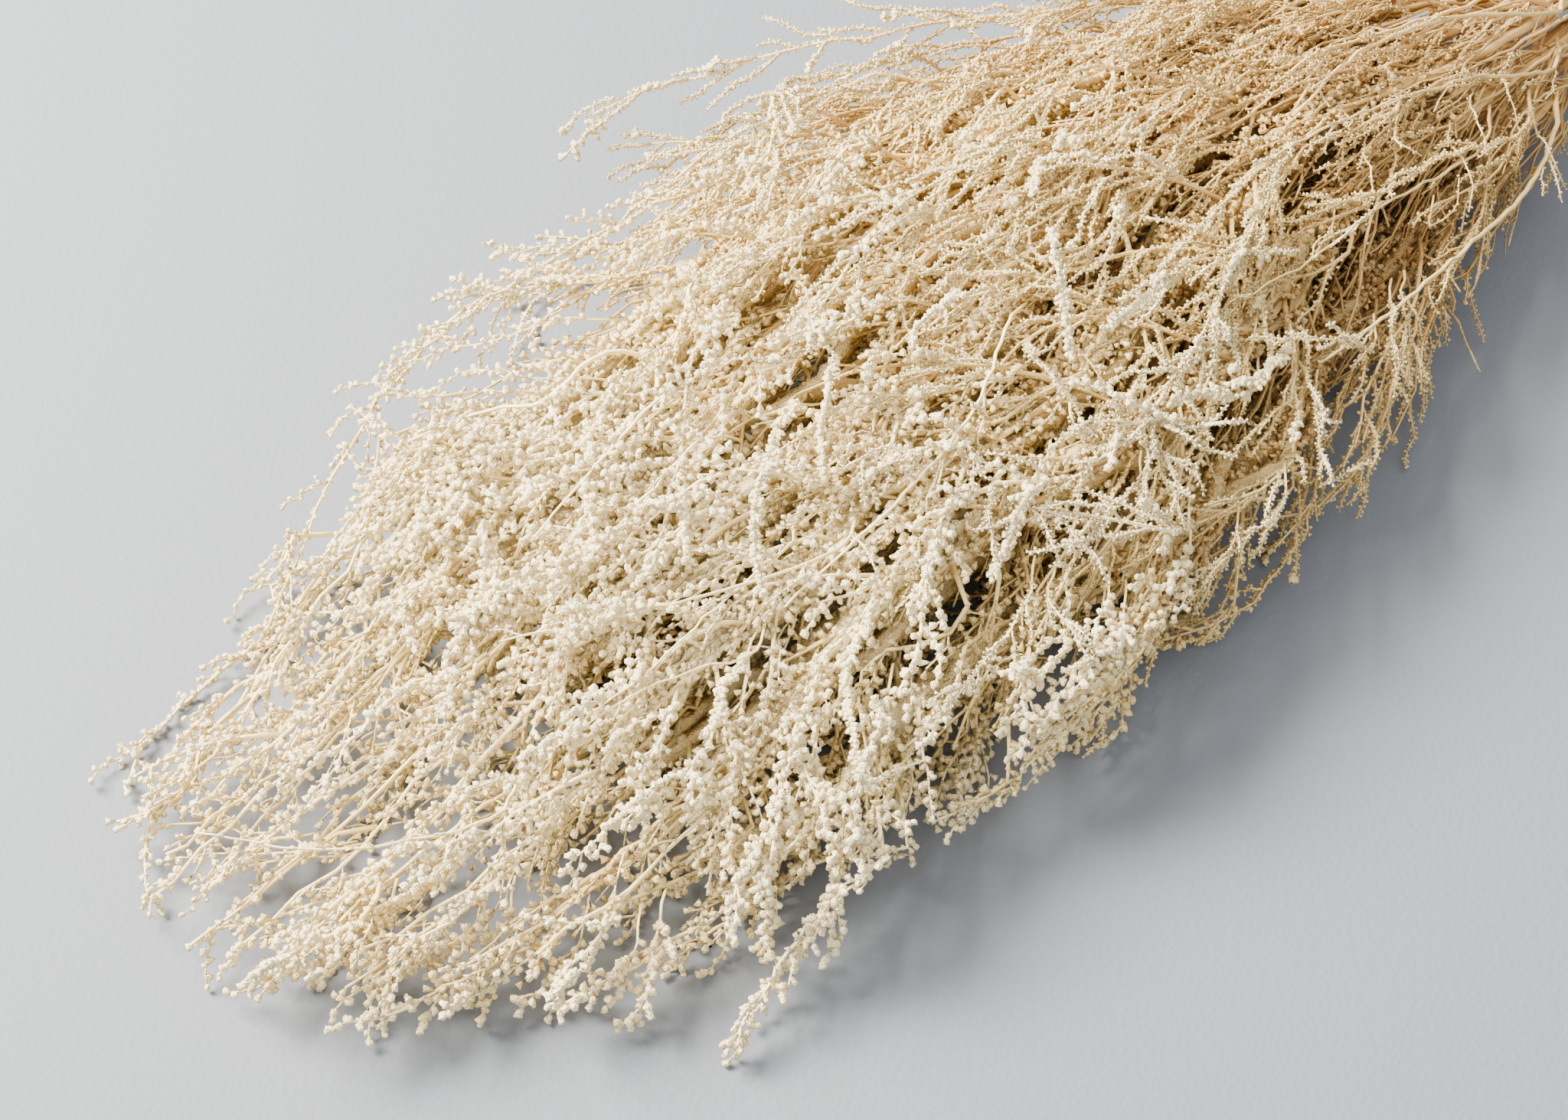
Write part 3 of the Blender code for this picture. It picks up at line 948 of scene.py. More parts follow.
@dataclass(frozen=True)
class SprayRule:
    """How a stem's side branches, branchlets and tufts grow."""

    outer_branches: int = 7
    inner_branches: int = 3
    outward_spread: float = 1.7
    first_y: float = 0.085
    last_back: float = 0.016
    past_tip: float = 0.006
    free_back: float = 0.010
    open_front: float = 0.048
    opens: Rise = Rise(0.50, 0.08)
    flares: Rise = Rise(0.20, 0.14)
    longest: float = 0.120
    shortest: float = 0.040
    flare: float = 0.44
    bow: float = 1.7
    sway: float = 0.05
    swings: float = 1.1
    front_wave: float = 0.0065
    waves: float = 1.3
    wave_height: float = 0.6
    waves_from: Rise = Rise(0.44, 0.08)
    least_length: float = 0.02
    trimmed: float = 0.6
    trimmed_to: Rise = Rise(0.30, 0.08)
    near_side: Rise = Rise(-0.02, 0.03)
    droop: float = 0.010
    fringe: tuple[float, float] = (0.12, 0.62)
    stray_fringe: float = 1.2
    stray_stations: int = 24
    more_outer: int = 46
    more_inner: int = 16
    apart: float = 0.0003
    branch_room: float = 0.0026
    branch_kinks: float = 0.00055
    branch_inside: float = 0.0008
    branch_radius: tuple[float, float] = (0.00085, 0.00040)
    branch_step: float = 0.008
    branchlet_spacing: float = 0.0070
    branchlet_length: tuple[float, float] = (0.013, 0.030)
    branchlet_radius: tuple[float, float] = (0.00042, 0.00028)
    bare_root: float = 0.012
    bare_stem: float = 0.075
    bare_tip: float = 0.004
    stub_spacing: float = 0.55
    front_closer: float = 0.22
    deep_kept: float = 0.55
    front_kept: float = 0.3
    bare_kept: float = 0.25
    airy_left: float = 0.4
    under_height: float = 0.010
    under_left: float = 0.45
    inner_lean: float = 0.45
    mostly_short: float = 1.3
    shorter: float = 0.45
    longer_back: float = 0.45
    curled: float = 0.20
    curled_length: float = 0.55
    long_let: float = 0.026
    short_let: float = 0.014
    coarse_depth: float = 0.009
    furry_wood: float = 0.60
    branchlet_fringe: float = 0.22
    branchlet_room: float = 0.0016
    branchlet_past: float = 0.0006
    branchlet_kinks: float = 0.028
    sagging: float = 0.18
    fine_depth: float = 0.012
    bare_depth: float = 0.018
    plain_height: float = 0.008
    plain_depth: float = 0.003
    leafless: float = 0.85
    doubled: tuple[float, float] = (0.15, 0.36)
    crowned: float = 0.30
    crown_depth: float = 0.002
    crown_length: float = 0.0055
    skin_depth: float = -0.0025
    grainy_height: float = 0.006
    outer_depth: float = 0.004
    knob: float = 0.0022
    knob_site: float = 0.0021
    branch_site: float = 0.0027
    scale_leaf: float = 0.00122
    scale_site: float = 0.00066
    airiness: float = 0.60
    laid_lengths: dict[Dress, float] = field(
        default_factory=lambda: {KNOBS: 0.65, FURRY: 0.5, BARE: 0.8, STUB: 0.2}
    )
    stem_site: float = 0.0021
    stem_tuft_depth: float = 0.010
    first_tuft: tuple[float, float] = (0.010, 0.003)
    tip_lean: float = 3.0
    deep_knob: float = 0.0030
    deep_site: float = 0.0032
    cover_area: float = 0.0000118
    cover_depth: float = 0.032
    cover_height: float = 0.012
    cover_radius: float = 0.0010
    cover_out: tuple[float, float] = (-0.0006, 0.0020)
    cover_share: tuple[float, float] = (2.0, 1.4)
    cover_scales_to: float = 0.41
    unlike: tuple[float, float] = (0.6, 1.4)
    knobs_from: Rise = Rise(0.35, 0.12)
    far_side: Rise = Rise(0.045, 0.05)
    far_part: Rise = Rise(0.38, 0.10)
    front_side: Rise = Rise(-0.01, 0.03)
    front_part: Rise = Rise(0.535, 0.04)
    front_airiness: float = 0.8
    full_front: Rise = Rise(0.50, 0.06)
    young: Rise = Rise(0.10, 0.16)
    branchlets_from: Rise = Rise(0.12, 0.12)
    furry_from: Rise = Rise(0.20, 0.12)
    leaves_from: Rise = Rise(0.15, 0.14)
    dense_front: Rise = Rise(0.46, 0.06)
    crowns_from: Rise = Rise(0.24, 0.08)
    laid_site: float = 0.0019
    cluster_site: float = 0.00075
    laid_root: float = 0.009
    laid_back: float = 0.012
    laid_step: float = 0.0045
    laid_kinks: float = 0.0003
    laid_taper: float = 0.55
    laid_inside: float = 0.0012
    laid_pale: Rise = Rise(0.26, 0.10)


@dataclass(frozen=True)
class BleachAndShadeRule:
    """How pale the bunch is: more bleached towards its tips, with painted light on top and where a tuft stands out, and
    painted shade that darkens it in the depth.
    """

    least: float = 0.30
    to_tips: float = 0.49
    along: Rise = Rise(0.16, 0.34)
    anywhere: float = 0.06
    # Painted light: paler high up, where the light falls.
    top_light: float = 0.14
    height: Rise = Rise(0.010, 0.045)
    # Painted light: paler where a tuft stands out of the mass.
    outer_light: float = 0.06
    outside: Rise = Rise(0.001, 0.004)
    # Painted shade: darker under the skin of the mass and deeper in, less so towards the open tips.
    skin_shade: float = 0.14
    skin: Rise = Rise(-0.007, 0.009)
    within: float = 0.20
    inside: Rise = Rise(0.001, 0.018)
    covered: float = 0.85
    opened: float = 0.60
    opens: Rise = Rise(0.38, 0.12)
    tone: float = 0.32
    depths: tuple[float, float] = (-0.01, 0.03)

    def at(self, places: Array, tone: Array) -> Array:
        """How bleached each place is, with its painted light and painted shade.

        Args:
            places: The places, one a row.
            tone: The tone that each has of its own.

        Returns:
            The paleness at each, from 0 to 1, painted light and shade included.
        """
        deep = np.clip(BUNCH.depth(places), *self.depths)
        y, z = places[:, 1], places[:, 2]
        along = self.least + self.to_tips * self.along.at(y)
        # Painted light on top and outside, painted shade in the depth.
        lit = self.top_light * self.height.at(z) + self.anywhere + self.outer_light * self.outside.at(-deep)
        shade_share = self.covered - self.opened * self.opens.at(y)
        bleach_and_shading = along + lit - shade_share * (self.skin_shade * self.skin.at(deep) + self.within * self.inside.at(deep))
        return np.clip(bleach_and_shading + self.tone * (tone - 0.5), 0, 1)


STRAYS: tuple[tuple[int, float, Point, Point, Point], ...] = (
    (17, 0.170, (0.085, 0.262, 0.056), (0.125, 0.325, 0.054), (0.156, 0.384, 0.043)),
    (16, 0.210, (0.096, 0.300, 0.033), (0.125, 0.350, 0.034), (0.150, 0.381, 0.032)),
    (16, 0.340, (0.128, 0.430, 0.027), (0.124, 0.490, 0.025), (0.087, 0.563, 0.012)),
    (17, 0.330, (0.105, 0.400, 0.052), (0.114, 0.455, 0.046), (0.119, 0.494, 0.037)),
    (21, 0.150, (0.055, 0.205, 0.064), (0.076, 0.250, 0.064), (0.095, 0.288, 0.058)),
    (20, 0.500, (0.090, 0.550, 0.014), (0.088, 0.595, 0.017), (0.073, 0.620, 0.022)),
    (10, 0.520, (-0.040, 0.560, 0.026), (-0.038, 0.595, 0.020), (-0.029, 0.622, 0.006)),
    (15, 0.450, (-0.078, 0.500, 0.020), (-0.088, 0.535, 0.015), (-0.092, 0.558, 0.006)),
    (15, 0.350, (-0.085, 0.405, 0.021), (-0.091, 0.445, 0.014), (-0.087, 0.473, 0.006)),
    (15, 0.200, (-0.058, 0.245, 0.030), (-0.075, 0.285, 0.021), (-0.083, 0.314, 0.008)),
    (19, 0.330, (-0.065, 0.365, 0.009), (-0.082, 0.400, 0.007), (-0.091, 0.427, 0.005)),
    (19, 0.190, (-0.045, 0.215, 0.012), (-0.060, 0.242, 0.010), (-0.071, 0.268, 0.006)),
)


# Each row: its stem, what grows on it, its radius in hundredths of a millimetre, and four places on its way in
# millimetres.
LAID_SPRAYS: tuple[tuple, ...] = (
    (22, BARE, 62, -30, 459, 62, -24, 486, 64, -11, 511, 62, 11, 540, 55),
    (14, BARE, 62, -13, 380, 77, -29, 412, 75, -33, 447, 68, -34, 484, 61),
    (22, BARE, 50, -21, 472, 62, -22, 492, 62, -23, 517, 57, -19, 543, 50),
    (22, BARE, 45, -35, 496, 54, -28, 516, 56, -23, 530, 53, -19, 551, 48),
    (22, STUB, 60, -19, 567, 38, -12, 587, 39, 4, 607, 38, 29, 624, 36),
    (18, KNOBS, 55, -52, 491, 50, -63, 511, 47, -77, 530, 37, -80, 535, 4),
    (18, KNOBS, 45, -59, 505, 46, -71, 509, 44, -80, 513, 40, -87, 518, 35),
    (18, KNOBS, 45, -66, 518, 41, -72, 531, 39, -76, 541, 34, -76, 543, 19),
    (14, CLUSTER, 45, 6, 443, 73, -5, 463, 73, -15, 477, 68, -28, 486, 63),
    (14, CLUSTER, 40, 7, 428, 76, -3, 440, 78, -8, 447, 75, -15, 452, 73),
    (14, CLUSTER, 40, -2, 353, 81, -15, 364, 83, -24, 371, 79, -33, 379, 76),
    (14, CLUSTER, 40, 7, 322, 83, 13, 330, 88, 17, 337, 88, 10, 348, 88),
    (22, CLUSTER, 40, -30, 330, 72, -33, 345, 76, -33, 355, 76, -33, 364, 76),
    (14, CLUSTER, 40, 1, 389, 80, -2, 399, 84, -2, 404, 84, -5, 410, 82),
    (22, FURRY, 55, -23, 281, 74, -35, 308, 75, -43, 329, 72, -54, 359, 67),
    (22, FURRY, 40, -34, 306, 70, -37, 322, 74, -35, 329, 75, -32, 337, 77),
    (22, FURRY, 45, -20, 275, 75, -24, 304, 79, -27, 324, 79, -29, 339, 78),
    (22, FURRY, 45, -29, 299, 72, -40, 317, 72, -42, 328, 72, -41, 337, 73),
    (18, FURRY, 45, -42, 332, 67, -52, 338, 68, -54, 343, 67, -56, 347, 66),
    (22, FURRY, 45, -23, 385, 74, -34, 387, 75, -44, 388, 71, -51, 392, 67),
    (15, FURRY, 45, -72, 294, 47, -67, 308, 57, -61, 319, 61, -56, 329, 65),
    (18, CLUSTER, 45, -62, 321, 57, -64, 332, 61, -65, 339, 61, -62, 346, 63),
    (18, CLUSTER, 45, -65, 338, 57, -63, 350, 62, -58, 357, 65, -57, 365, 66),
    (18, FURRY, 45, -54, 371, 63, -63, 369, 64, -67, 359, 61, -66, 352, 62),
    (18, FURRY, 45, -51, 371, 64, -49, 385, 69, -48, 393, 70, -48, 402, 69),
    (18, FURRY, 45, -53, 376, 63, -56, 393, 66, -59, 402, 64, -63, 408, 62),
    (18, FURRY, 45, -57, 374, 61, -65, 382, 62, -69, 388, 60, -71, 393, 58),
    (18, FURRY, 45, -59, 374, 60, -69, 376, 60, -74, 373, 58, -78, 374, 55),
    (18, FURRY, 45, -66, 378, 57, -75, 382, 57, -77, 387, 56, -75, 395, 57),
    (18, FURRY, 45, -66, 387, 57, -68, 399, 60, -68, 407, 59, -67, 412, 59),
    (18, CLUSTER, 45, -49, 405, 63, -55, 421, 63, -59, 429, 60, -62, 438, 59),
    (18, FURRY, 45, -51, 416, 61, -59, 416, 62, -65, 418, 59, -70, 421, 57),
    (18, FURRY, 45, -55, 409, 60, -66, 412, 59, -71, 412, 57, -75, 413, 54),
    (18, FURRY, 45, -46, 415, 63, -49, 426, 65, -54, 430, 63, -59, 432, 60),
    (22, FURRY, 45, -34, 431, 65, -24, 433, 74, -19, 440, 74, -28, 450, 69),
    (22, FURRY, 45, -27, 416, 70, -37, 420, 71, -42, 424, 68, -44, 430, 67),
    (15, FURRY, 45, -74, 428, 50, -85, 429, 48, -91, 429, 44, -89, 436, 45),
    (18, FURRY, 45, -69, 431, 52, -75, 453, 50, -77, 463, 48, -77, 473, 47),
    (18, CLUSTER, 45, -47, 466, 56, -53, 479, 56, -56, 484, 54, -58, 487, 53),
    (18, CLUSTER, 45, -57, 485, 49, -66, 492, 49, -73, 496, 46, -79, 498, 43),
    (22, CLUSTER, 45, -36, 500, 53, -39, 510, 55, -42, 515, 53, -44, 520, 52),
    (22, BARE, 95, -19, 135, 47, -13, 189, 70, -9, 227, 78, -15, 267, 80),
    (18, BARE, 80, -31, 151, 43, -29, 205, 65, -24, 252, 76, -21, 287, 79),
    (18, FURRY, 70, -42, 181, 45, -44, 234, 61, -43, 266, 67, -37, 285, 72),
    (18, BARE, 60, -41, 201, 51, -47, 264, 64, -48, 304, 67, -45, 328, 69),
    (18, BARE, 105, -44, 167, 37, -58, 201, 39, -64, 237, 45, -70, 304, 53),
    (18, TWIGLET, 42, -40, 221, 57, -48, 225, 58, -54, 227, 54, -59, 235, 52),
    (18, TWIGLET, 42, -34, 203, 57, -40, 209, 60, -44, 211, 58, -48, 214, 56),
    (22, TWIGLET, 42, -31, 183, 54, -38, 190, 58, -41, 191, 55, -45, 194, 53),
    (22, TWIGLET, 42, -31, 237, 66, -37, 244, 70, -40, 242, 68, -42, 239, 65),
    (22, TWIGLET, 42, -32, 253, 67, -38, 259, 70, -41, 261, 69, -44, 264, 68),
    (18, TWIGLET, 42, -44, 180, 42, -53, 186, 42, -58, 186, 37, -61, 183, 29),
    (18, TWIGLET, 42, -44, 255, 61, -47, 268, 66, -48, 275, 66, -49, 279, 66),
    (18, TWIGLET, 42, -43, 280, 64, -46, 288, 68, -46, 292, 69, -49, 297, 68),
    (18, TWIGLET, 42, -55, 246, 51, -58, 243, 55, -55, 235, 55, -51, 231, 58),
    (15, FURRY, 45, -76, 324, 49, -89, 335, 45, -95, 335, 40, -97, 321, 36),
    (15, FURRY, 45, -67, 280, 48, -75, 288, 47, -80, 293, 44, -84, 298, 41),
    (15, FURRY, 45, -67, 274, 47, -75, 281, 45, -80, 286, 42, -84, 291, 40),
    (13, KNOBS, 45, 21, 477, 65, 23, 486, 68, 25, 495, 66, 12, 507, 64),
    (14, KNOBS, 50, 3, 477, 65, -2, 492, 66, -4, 505, 63, -5, 521, 59),
    (22, KNOBS, 50, -16, 516, 54, -19, 535, 53, -18, 549, 48, -18, 562, 44),
    (18, KNOBS, 50, -45, 522, 46, -44, 539, 46, -43, 554, 42, -43, 567, 38),
    (14, KNOBS, 50, 14, 505, 60, 14, 521, 60, 21, 531, 57, 23, 543, 52),
    (18, KNOBS, 50, -66, 480, 47, -73, 492, 46, -79, 503, 42, -88, 509, 37),
    (1, KNOBS, 50, 18, 600, 16, 30, 600, 14, 42, 601, 11, 53, 607, 9),
    (12, KNOBS, 50, 31, 608, 14, 45, 611, 12, 57, 615, 10, 69, 616, 8),
    (3, KNOBS, 50, 13, 596, 15, 23, 606, 12, 30, 616, 10, 34, 625, 7),
    (1, KNOBS, 45, 21, 602, 14, 33, 613, 12, 42, 622, 9, 48, 628, 7),
    (1, KNOBS, 60, 36, 556, 24, 48, 571, 19, 59, 585, 14, 67, 606, 9),
    (20, KNOBS, 45, 66, 606, 10, 67, 614, 8, 59, 622, 7, 51, 630, 5),
    (20, KNOBS, 45, 57, 624, 7, 50, 631, 6, 42, 635, 5, 36, 643, 4),
    (20, KNOBS, 45, 63, 611, 9, 70, 613, 8, 79, 613, 8, 86, 614, 7),
    (6, KNOBS, 42, 54, 579, 18, 60, 588, 16, 65, 592, 14, 71, 595, 12),
    (6, KNOBS, 42, 52, 573, 20, 61, 575, 19, 68, 572, 17, 65, 565, 16),
    (7, KNOBS, 45, 41, 571, 20, 44, 580, 17, 48, 587, 15, 50, 592, 12),
    (3, KNOBS, 50, 22, 549, 26, 26, 565, 21, 31, 571, 17, 35, 578, 12),
    (2, KNOBS, 55, -3, 585, 24, 2, 604, 18, 10, 619, 13, 21, 630, 7),
    (2, KNOBS, 60, -14, 581, 24, -9, 603, 18, -3, 616, 13, 2, 627, 7),
    (11, KNOBS, 42, -6, 606, 12, -6, 613, 10, -6, 618, 8, -4, 621, 6),
    (5, KNOBS, 50, -13, 602, 16, -18, 609, 12, -23, 614, 7, -28, 620, 3),
    (8, KNOBS, 50, -30, 585, 20, -27, 595, 15, -23, 604, 11, -19, 609, 6),
    (5, KNOBS, 45, -33, 580, 16, -29, 589, 13, -27, 594, 11, -27, 600, 8),
    (10, KNOBS, 50, -46, 574, 18, -43, 585, 14, -41, 594, 10, -38, 599, 6),
    (19, KNOBS, 42, -50, 572, 12, -50, 581, 10, -49, 586, 7, -49, 589, 5),
    (15, KNOBS, 50, -63, 556, 18, -68, 563, 13, -71, 569, 9, -69, 575, 4),
    (15, KNOBS, 42, -61, 563, 14, -60, 569, 11, -59, 573, 8, -60, 576, 5),
    (3, KNOBS, 50, 10, 554, 22, 15, 561, 18, 23, 565, 14, 24, 570, 10),
    (3, KNOBS, 50, 5, 561, 20, 10, 569, 17, 18, 572, 13, 18, 580, 10),
    (2, KNOBS, 50, -6, 541, 26, -5, 553, 22, 3, 560, 18, 3, 571, 14),
    (17, KNOBS, 45, 87, 453, 54, 96, 469, 50, 111, 479, 42, 119, 494, 35),
    (17, KNOBS, 45, 99, 437, 51, 113, 449, 45, 120, 461, 39, 120, 480, 37),
    (16, KNOBS, 42, 106, 443, 47, 115, 451, 44, 133, 451, 32, 143, 457, 24),
    (21, BARE, 90, 64, 458, 61, 63, 482, 59, 76, 490, 53, 87, 509, 46),
    (21, KNOBS, 50, 52, 469, 62, 53, 488, 61, 59, 504, 56, 50, 528, 51),
    (13, KNOBS, 50, 30, 474, 65, 36, 493, 63, 45, 511, 57, 57, 522, 51),
    (13, BARE, 60, 35, 458, 68, 33, 479, 67, 32, 494, 63, 28, 515, 59),
    (21, KNOBS, 45, 60, 492, 55, 61, 508, 54, 60, 523, 51, 53, 535, 48),
    (17, KNOBS, 45, 82, 497, 48, 78, 517, 47, 75, 530, 44, 73, 543, 41),
    (17, KNOBS, 45, 80, 482, 51, 79, 505, 50, 82, 519, 45, 84, 531, 41),
    (21, KNOBS, 42, 67, 470, 58, 80, 479, 54, 95, 481, 48, 98, 493, 45),
    (17, KNOBS, 42, 80, 516, 45, 80, 529, 43, 78, 542, 40, 75, 552, 37),
    (21, KNOBS, 45, 56, 518, 50, 58, 533, 48, 57, 545, 44, 52, 557, 41),
    (16, KNOBS, 42, 101, 493, 42, 110, 497, 39, 114, 501, 37, 115, 502, 36),
    (17, KNOBS, 42, 92, 512, 42, 101, 510, 41, 111, 508, 37, 118, 507, 34),
    (17, KNOBS, 42, 91, 521, 40, 97, 522, 39, 102, 520, 38, 107, 519, 36),
    (17, KNOBS, 42, 101, 441, 50, 108, 441, 48, 117, 439, 44, 126, 436, 39),
    (14, KNOBS, 42, 15, 488, 63, 9, 504, 63, 17, 518, 59, 20, 537, 53),
    (13, BARE, 55, 17, 464, 68, 14, 486, 67, 13, 501, 63, 9, 526, 57),
    (15, KNOBS, 42, -88, 416, 45, -90, 432, 42, -91, 446, 38, -91, 459, 32),
    (15, KNOBS, 42, -83, 417, 47, -84, 432, 46, -85, 446, 42, -87, 459, 37),
    (15, KNOBS, 42, -90, 404, 40, -91, 420, 38, -91, 436, 34, -90, 450, 28),
    (15, KNOBS, 42, -86, 388, 45, -88, 402, 44, -90, 415, 42, -91, 427, 38),
    (15, FURRY, 42, -89, 372, 43, -90, 388, 41, -91, 402, 38, -91, 416, 34),
    (15, FURRY, 42, -90, 354, 44, -91, 369, 43, -92, 383, 40, -92, 394, 36),
)


@dataclass
class StoebeStem:
    """One stem of the bunch with its whole spray."""

    index: int
    rule: SprayRule = SprayRule()
    bleach_and_shading: BleachAndShadeRule = BleachAndShadeRule()
    inner_strands: int = 3
    outer_strands: int = 4
    strand_radius: float = 0.0023
    strand_reach: float = 0.0125
    strand_share: float = 0.80
    strand_lump: float = 0.0006
    strand_depth: Rise = Rise(0.0060, 0.0090)
    strand_from: Rise = Rise(0.15, 0.10)
    strand_to: Rise = Rise(0.50, 0.045)
    strand_ends: tuple[float, float] = (0.125, 0.545)
    strand_waves: tuple[float, float] = (0.085, 0.055)
    strand_spread: float = 1.6
    strand_wander: float = 0.9
    strand_out: float = 0.70
    strand_swell: float = 0.28
    strand_stations: int = 6
    strand_core: float = 0.0004
    strand_height: float = 0.0035
    strand_least: float = 0.08
    strand_step: float = 0.0035
    kinks: float = 0.0009
    kinks_from: Rise = Rise(0.07, 0.12)
    first_y: float = 0.022
    step: float = 0.010
    tip_radius: float = 0.0004
    taper: float = 0.8
    uneven: float = 0.05
    even_to: float = 0.03
    past_low: Point = (0.0034, 0, 0)
    past_high: Point = (0.0034, 0.006, 0.0022)

    def __post_init__(self) -> None:
        """Names the stem and seeds what is random about it."""
        self.name = f"stem_{self.index + 1:02d}"
        self.rng = np.random.default_rng(SPRAY_SEED + self.index)
        self.reach = BUNCH.reach(self.index)
        self.outer = BUNCH.is_outer(self.index)
        self.tufts = Tufts()

    def main_stem(self) -> Twig:
        """The stem itself, from its cut end to its tip.

        Returns:
            The stem as a twig of level 0.
        """
        butt = BUNCH.butt_y - BUNCH.butt_stagger * random.Random(BUTT_SEED + self.index).random()
        fanned = np.arange(self.first_y, self.reach, self.step)
        y = np.concatenate(([butt, -BUNCH.tie_half_y, BUNCH.tie_half_y], fanned, [self.reach]))
        points = BUNCH.stem_point(self.index, y)
        kinks = self.rng.normal(0, 1, points.shape) * np.array((1, 0, 1))
        points = points + self.kinks * kinks * self.kinks_from.at(y)[:, None]
        radii = BUNCH.stem_radius + (self.tip_radius - BUNCH.stem_radius) * np.clip(y / self.reach, 0, 1) ** self.taper
        radii = radii * (1 + self.uneven * self.rng.normal(0, 1, len(y)) * (y > self.even_to))
        points[:, 2] = np.maximum(points[:, 2], radii)
        return Twig(points, radii, 0, 0.0)

    def strands(self) -> list[tuple[Array, Array]]:
        """The tangle round the stem in the depth of the bunch, as wavy strands of packed tufts.

        Returns:
            Each strand's points and radii.
        """
        rule, rng = self.rule, self.rng
        start, end = self.strand_ends
        y = np.arange(start, min(self.reach - 0.03, end), self.strand_step)
        middle = BUNCH.stem_point(self.index, y)
        gaps = [
            np.linalg.norm(middle - BUNCH.stem_point(other, y), axis=1)
            for other in range(BUNCH.stem_count)
            if other != self.index
        ]
        wide = np.minimum(self.strand_reach, self.strand_share * np.min(gaps, axis=0) / 2)
        x, z = BUNCH.seeds[self.index]
        inward = math.atan2(-z, -x)
        wander, swell = self.strand_waves
        count = self.outer_strands - int(x > 0) if self.outer else self.inner_strands
        made = []
        for k in range(count):
            first, second = rng.uniform(0, ANY_PHASE, 2)
            if self.outer:
                turn = inward + self.strand_spread * (k / max(count - 1, 1) - 0.5)
            else:
                turn = second + FULL_TURN * k / count
            turn = turn + self.strand_wander * np.sin(FULL_TURN * y / wander + first)
            offset = wide * (self.strand_out + self.strand_swell * np.sin(FULL_TURN * y / swell + second))
            line = middle + np.stack((offset * np.cos(turn), 0 * y, offset * np.sin(turn)), axis=-1)
            line[:, 2] = np.maximum(line[:, 2], self.strand_height)
            deep = self.strand_depth.at(BUNCH.depth(line)) * self.strand_from.at(y) * (1 - self.strand_to.at(y))
            radii = (self.strand_core + self.strand_radius * deep) * rng.uniform(*rule.unlike, len(y))
            within = np.flatnonzero(deep > self.strand_least)
            if len(within) < self.strand_stations:
                continue
            line, radii = line[within[0] : within[-1] + 1], radii[within[0] : within[-1] + 1]
            made.append((line, radii))
            self.cover(line, radii)
        return made

    def cover(self, points: Array, radii: Array) -> None:
        """Sets tufts close together over a strand, where it is wide.

        Args:
            points: Its middle at each station.
            radii: Its radius at each station.
        """
        rule, rng = self.rule, self.rng
        around = np.maximum(FULL_TURN * radii * self.strand_step / rule.cover_area, 0)
        around = around * (radii > rule.cover_radius)
        around = around * np.where(points[:, 1] < rule.cover_scales_to, *rule.cover_share)
        station = np.repeat(np.arange(len(points)), rng.poisson(around))
        if not len(station):
            return
        along = unit(np.gradient(points, axis=0))[station]
        outward = beside(along, rng.uniform(0, FULL_TURN, len(station)))
        roots = points[station] + along * rng.uniform(-0.5, 0.5, len(station))[:, None] * self.strand_step
        roots = roots + outward * (radii[station] + rng.uniform(*rule.cover_out, len(station)))[:, None]
        clear = (roots[:, 2] > rule.cover_height) & (BUNCH.depth(roots) < rule.cover_depth) & (outward[:, 2] > -0.1)
        directions = unit(outward + rng.normal(0, 0.5, outward.shape) + 0.6 * along)
        furry = roots[:, 1] + rng.normal(0, 0.02, len(station)) < rule.cover_scales_to
        sizes = np.where(furry, 2.0 * rule.scale_leaf, rule.knob) * rng.uniform(*rule.unlike, len(station))
        kinds = np.where(furry, SCALES[0], INNER_KNOBS[0])
        self.tufts.add(roots[clear], directions[clear], sizes[clear], kinds[clear], 0.6)

    def bowed(self, start: float, length: float, azimuth: float, flare: float, shift: float, share: Array) -> Array:
        """A side branch's course: it leaves its stem forwards, bows out and runs on beside it.

        Args:
            start: Where along the bunch it leaves the stem.
            length: How far along the bunch it runs.
            azimuth: The side that it leaves to.
            flare: How far out it goes, as a share of its length.
            shift: Where its sway begins.
            share: The shares of the branch to give points for.

        Returns:
            The points, before they are kept clear.
        """
        rule = self.rule
        out = flare * length * (1 - (1 - share) ** rule.bow)
        swing = np.sin(FULL_TURN * rule.swings * share + shift) - math.sin(shift)
        sway = rule.sway * length * swing
        side = np.stack(
            (
                out * math.cos(azimuth) - sway * math.sin(azimuth),
                0 * share,
                out * math.sin(azimuth) + sway * math.cos(azimuth) - rule.droop * share**2,
            ),
            axis=-1,
        )
        return BUNCH.stem_point(self.index, start + length * share) + side

    def bent(self, start: float, places: tuple[Point, ...], share: Array) -> Array:
        """A stray spray's course, from its stem through three places."""
        stations = np.array((BUNCH.stem_point(self.index, start), *places))
        t = 3 * share
        weights = (
            (1 - t) * (2 - t) * (3 - t) / 6,
            t * (2 - t) * (3 - t) / 2,
            t * (t - 1) * (3 - t) / 2,
            t * (t - 1) * (t - 2) / 6,
        )
        return np.stack(weights, axis=-1) @ stations

    def branch(self, course: Array, fringe: float, room: float) -> Twig:
        """A side branch along a course.

        Args:
            course: The points before they are kept clear.
            fringe: How far out of the bunch it may stand.
            room: What is left between it and its neighbours. CROSSING lets it reach in among them.

        Returns:
            The branch as a twig of level 1.
        """
        rule = self.rule
        kept = BUNCH.kept_clear(self.index, course, rule.branch_room, fringe, room)
        kept[0] = course[0]
        kept[1:] += self.rng.normal(0, rule.branch_kinks, kept[1:].shape)
        kept = in_box(kept, rule.branch_inside)
        root_radius, tip_radius = rule.branch_radius
        radii = root_radius + (tip_radius - root_radius) * np.linspace(0, 1, len(kept))
        return Twig(kept, radii, BRANCH, fringe, None, float(self.rng.uniform(0.05, 0.95)))

    def airy(self, points: Array) -> Array:
        """How far each place lies in the thin edges that light shows through, from 0 to 1."""
        rule, x, y = self.rule, points[:, 0], points[:, 1]
        front = rule.front_airiness * rule.front_side.at(x) * rule.front_part.at(y)
        return np.maximum(rule.far_side.at(x) * rule.far_part.at(y), front)

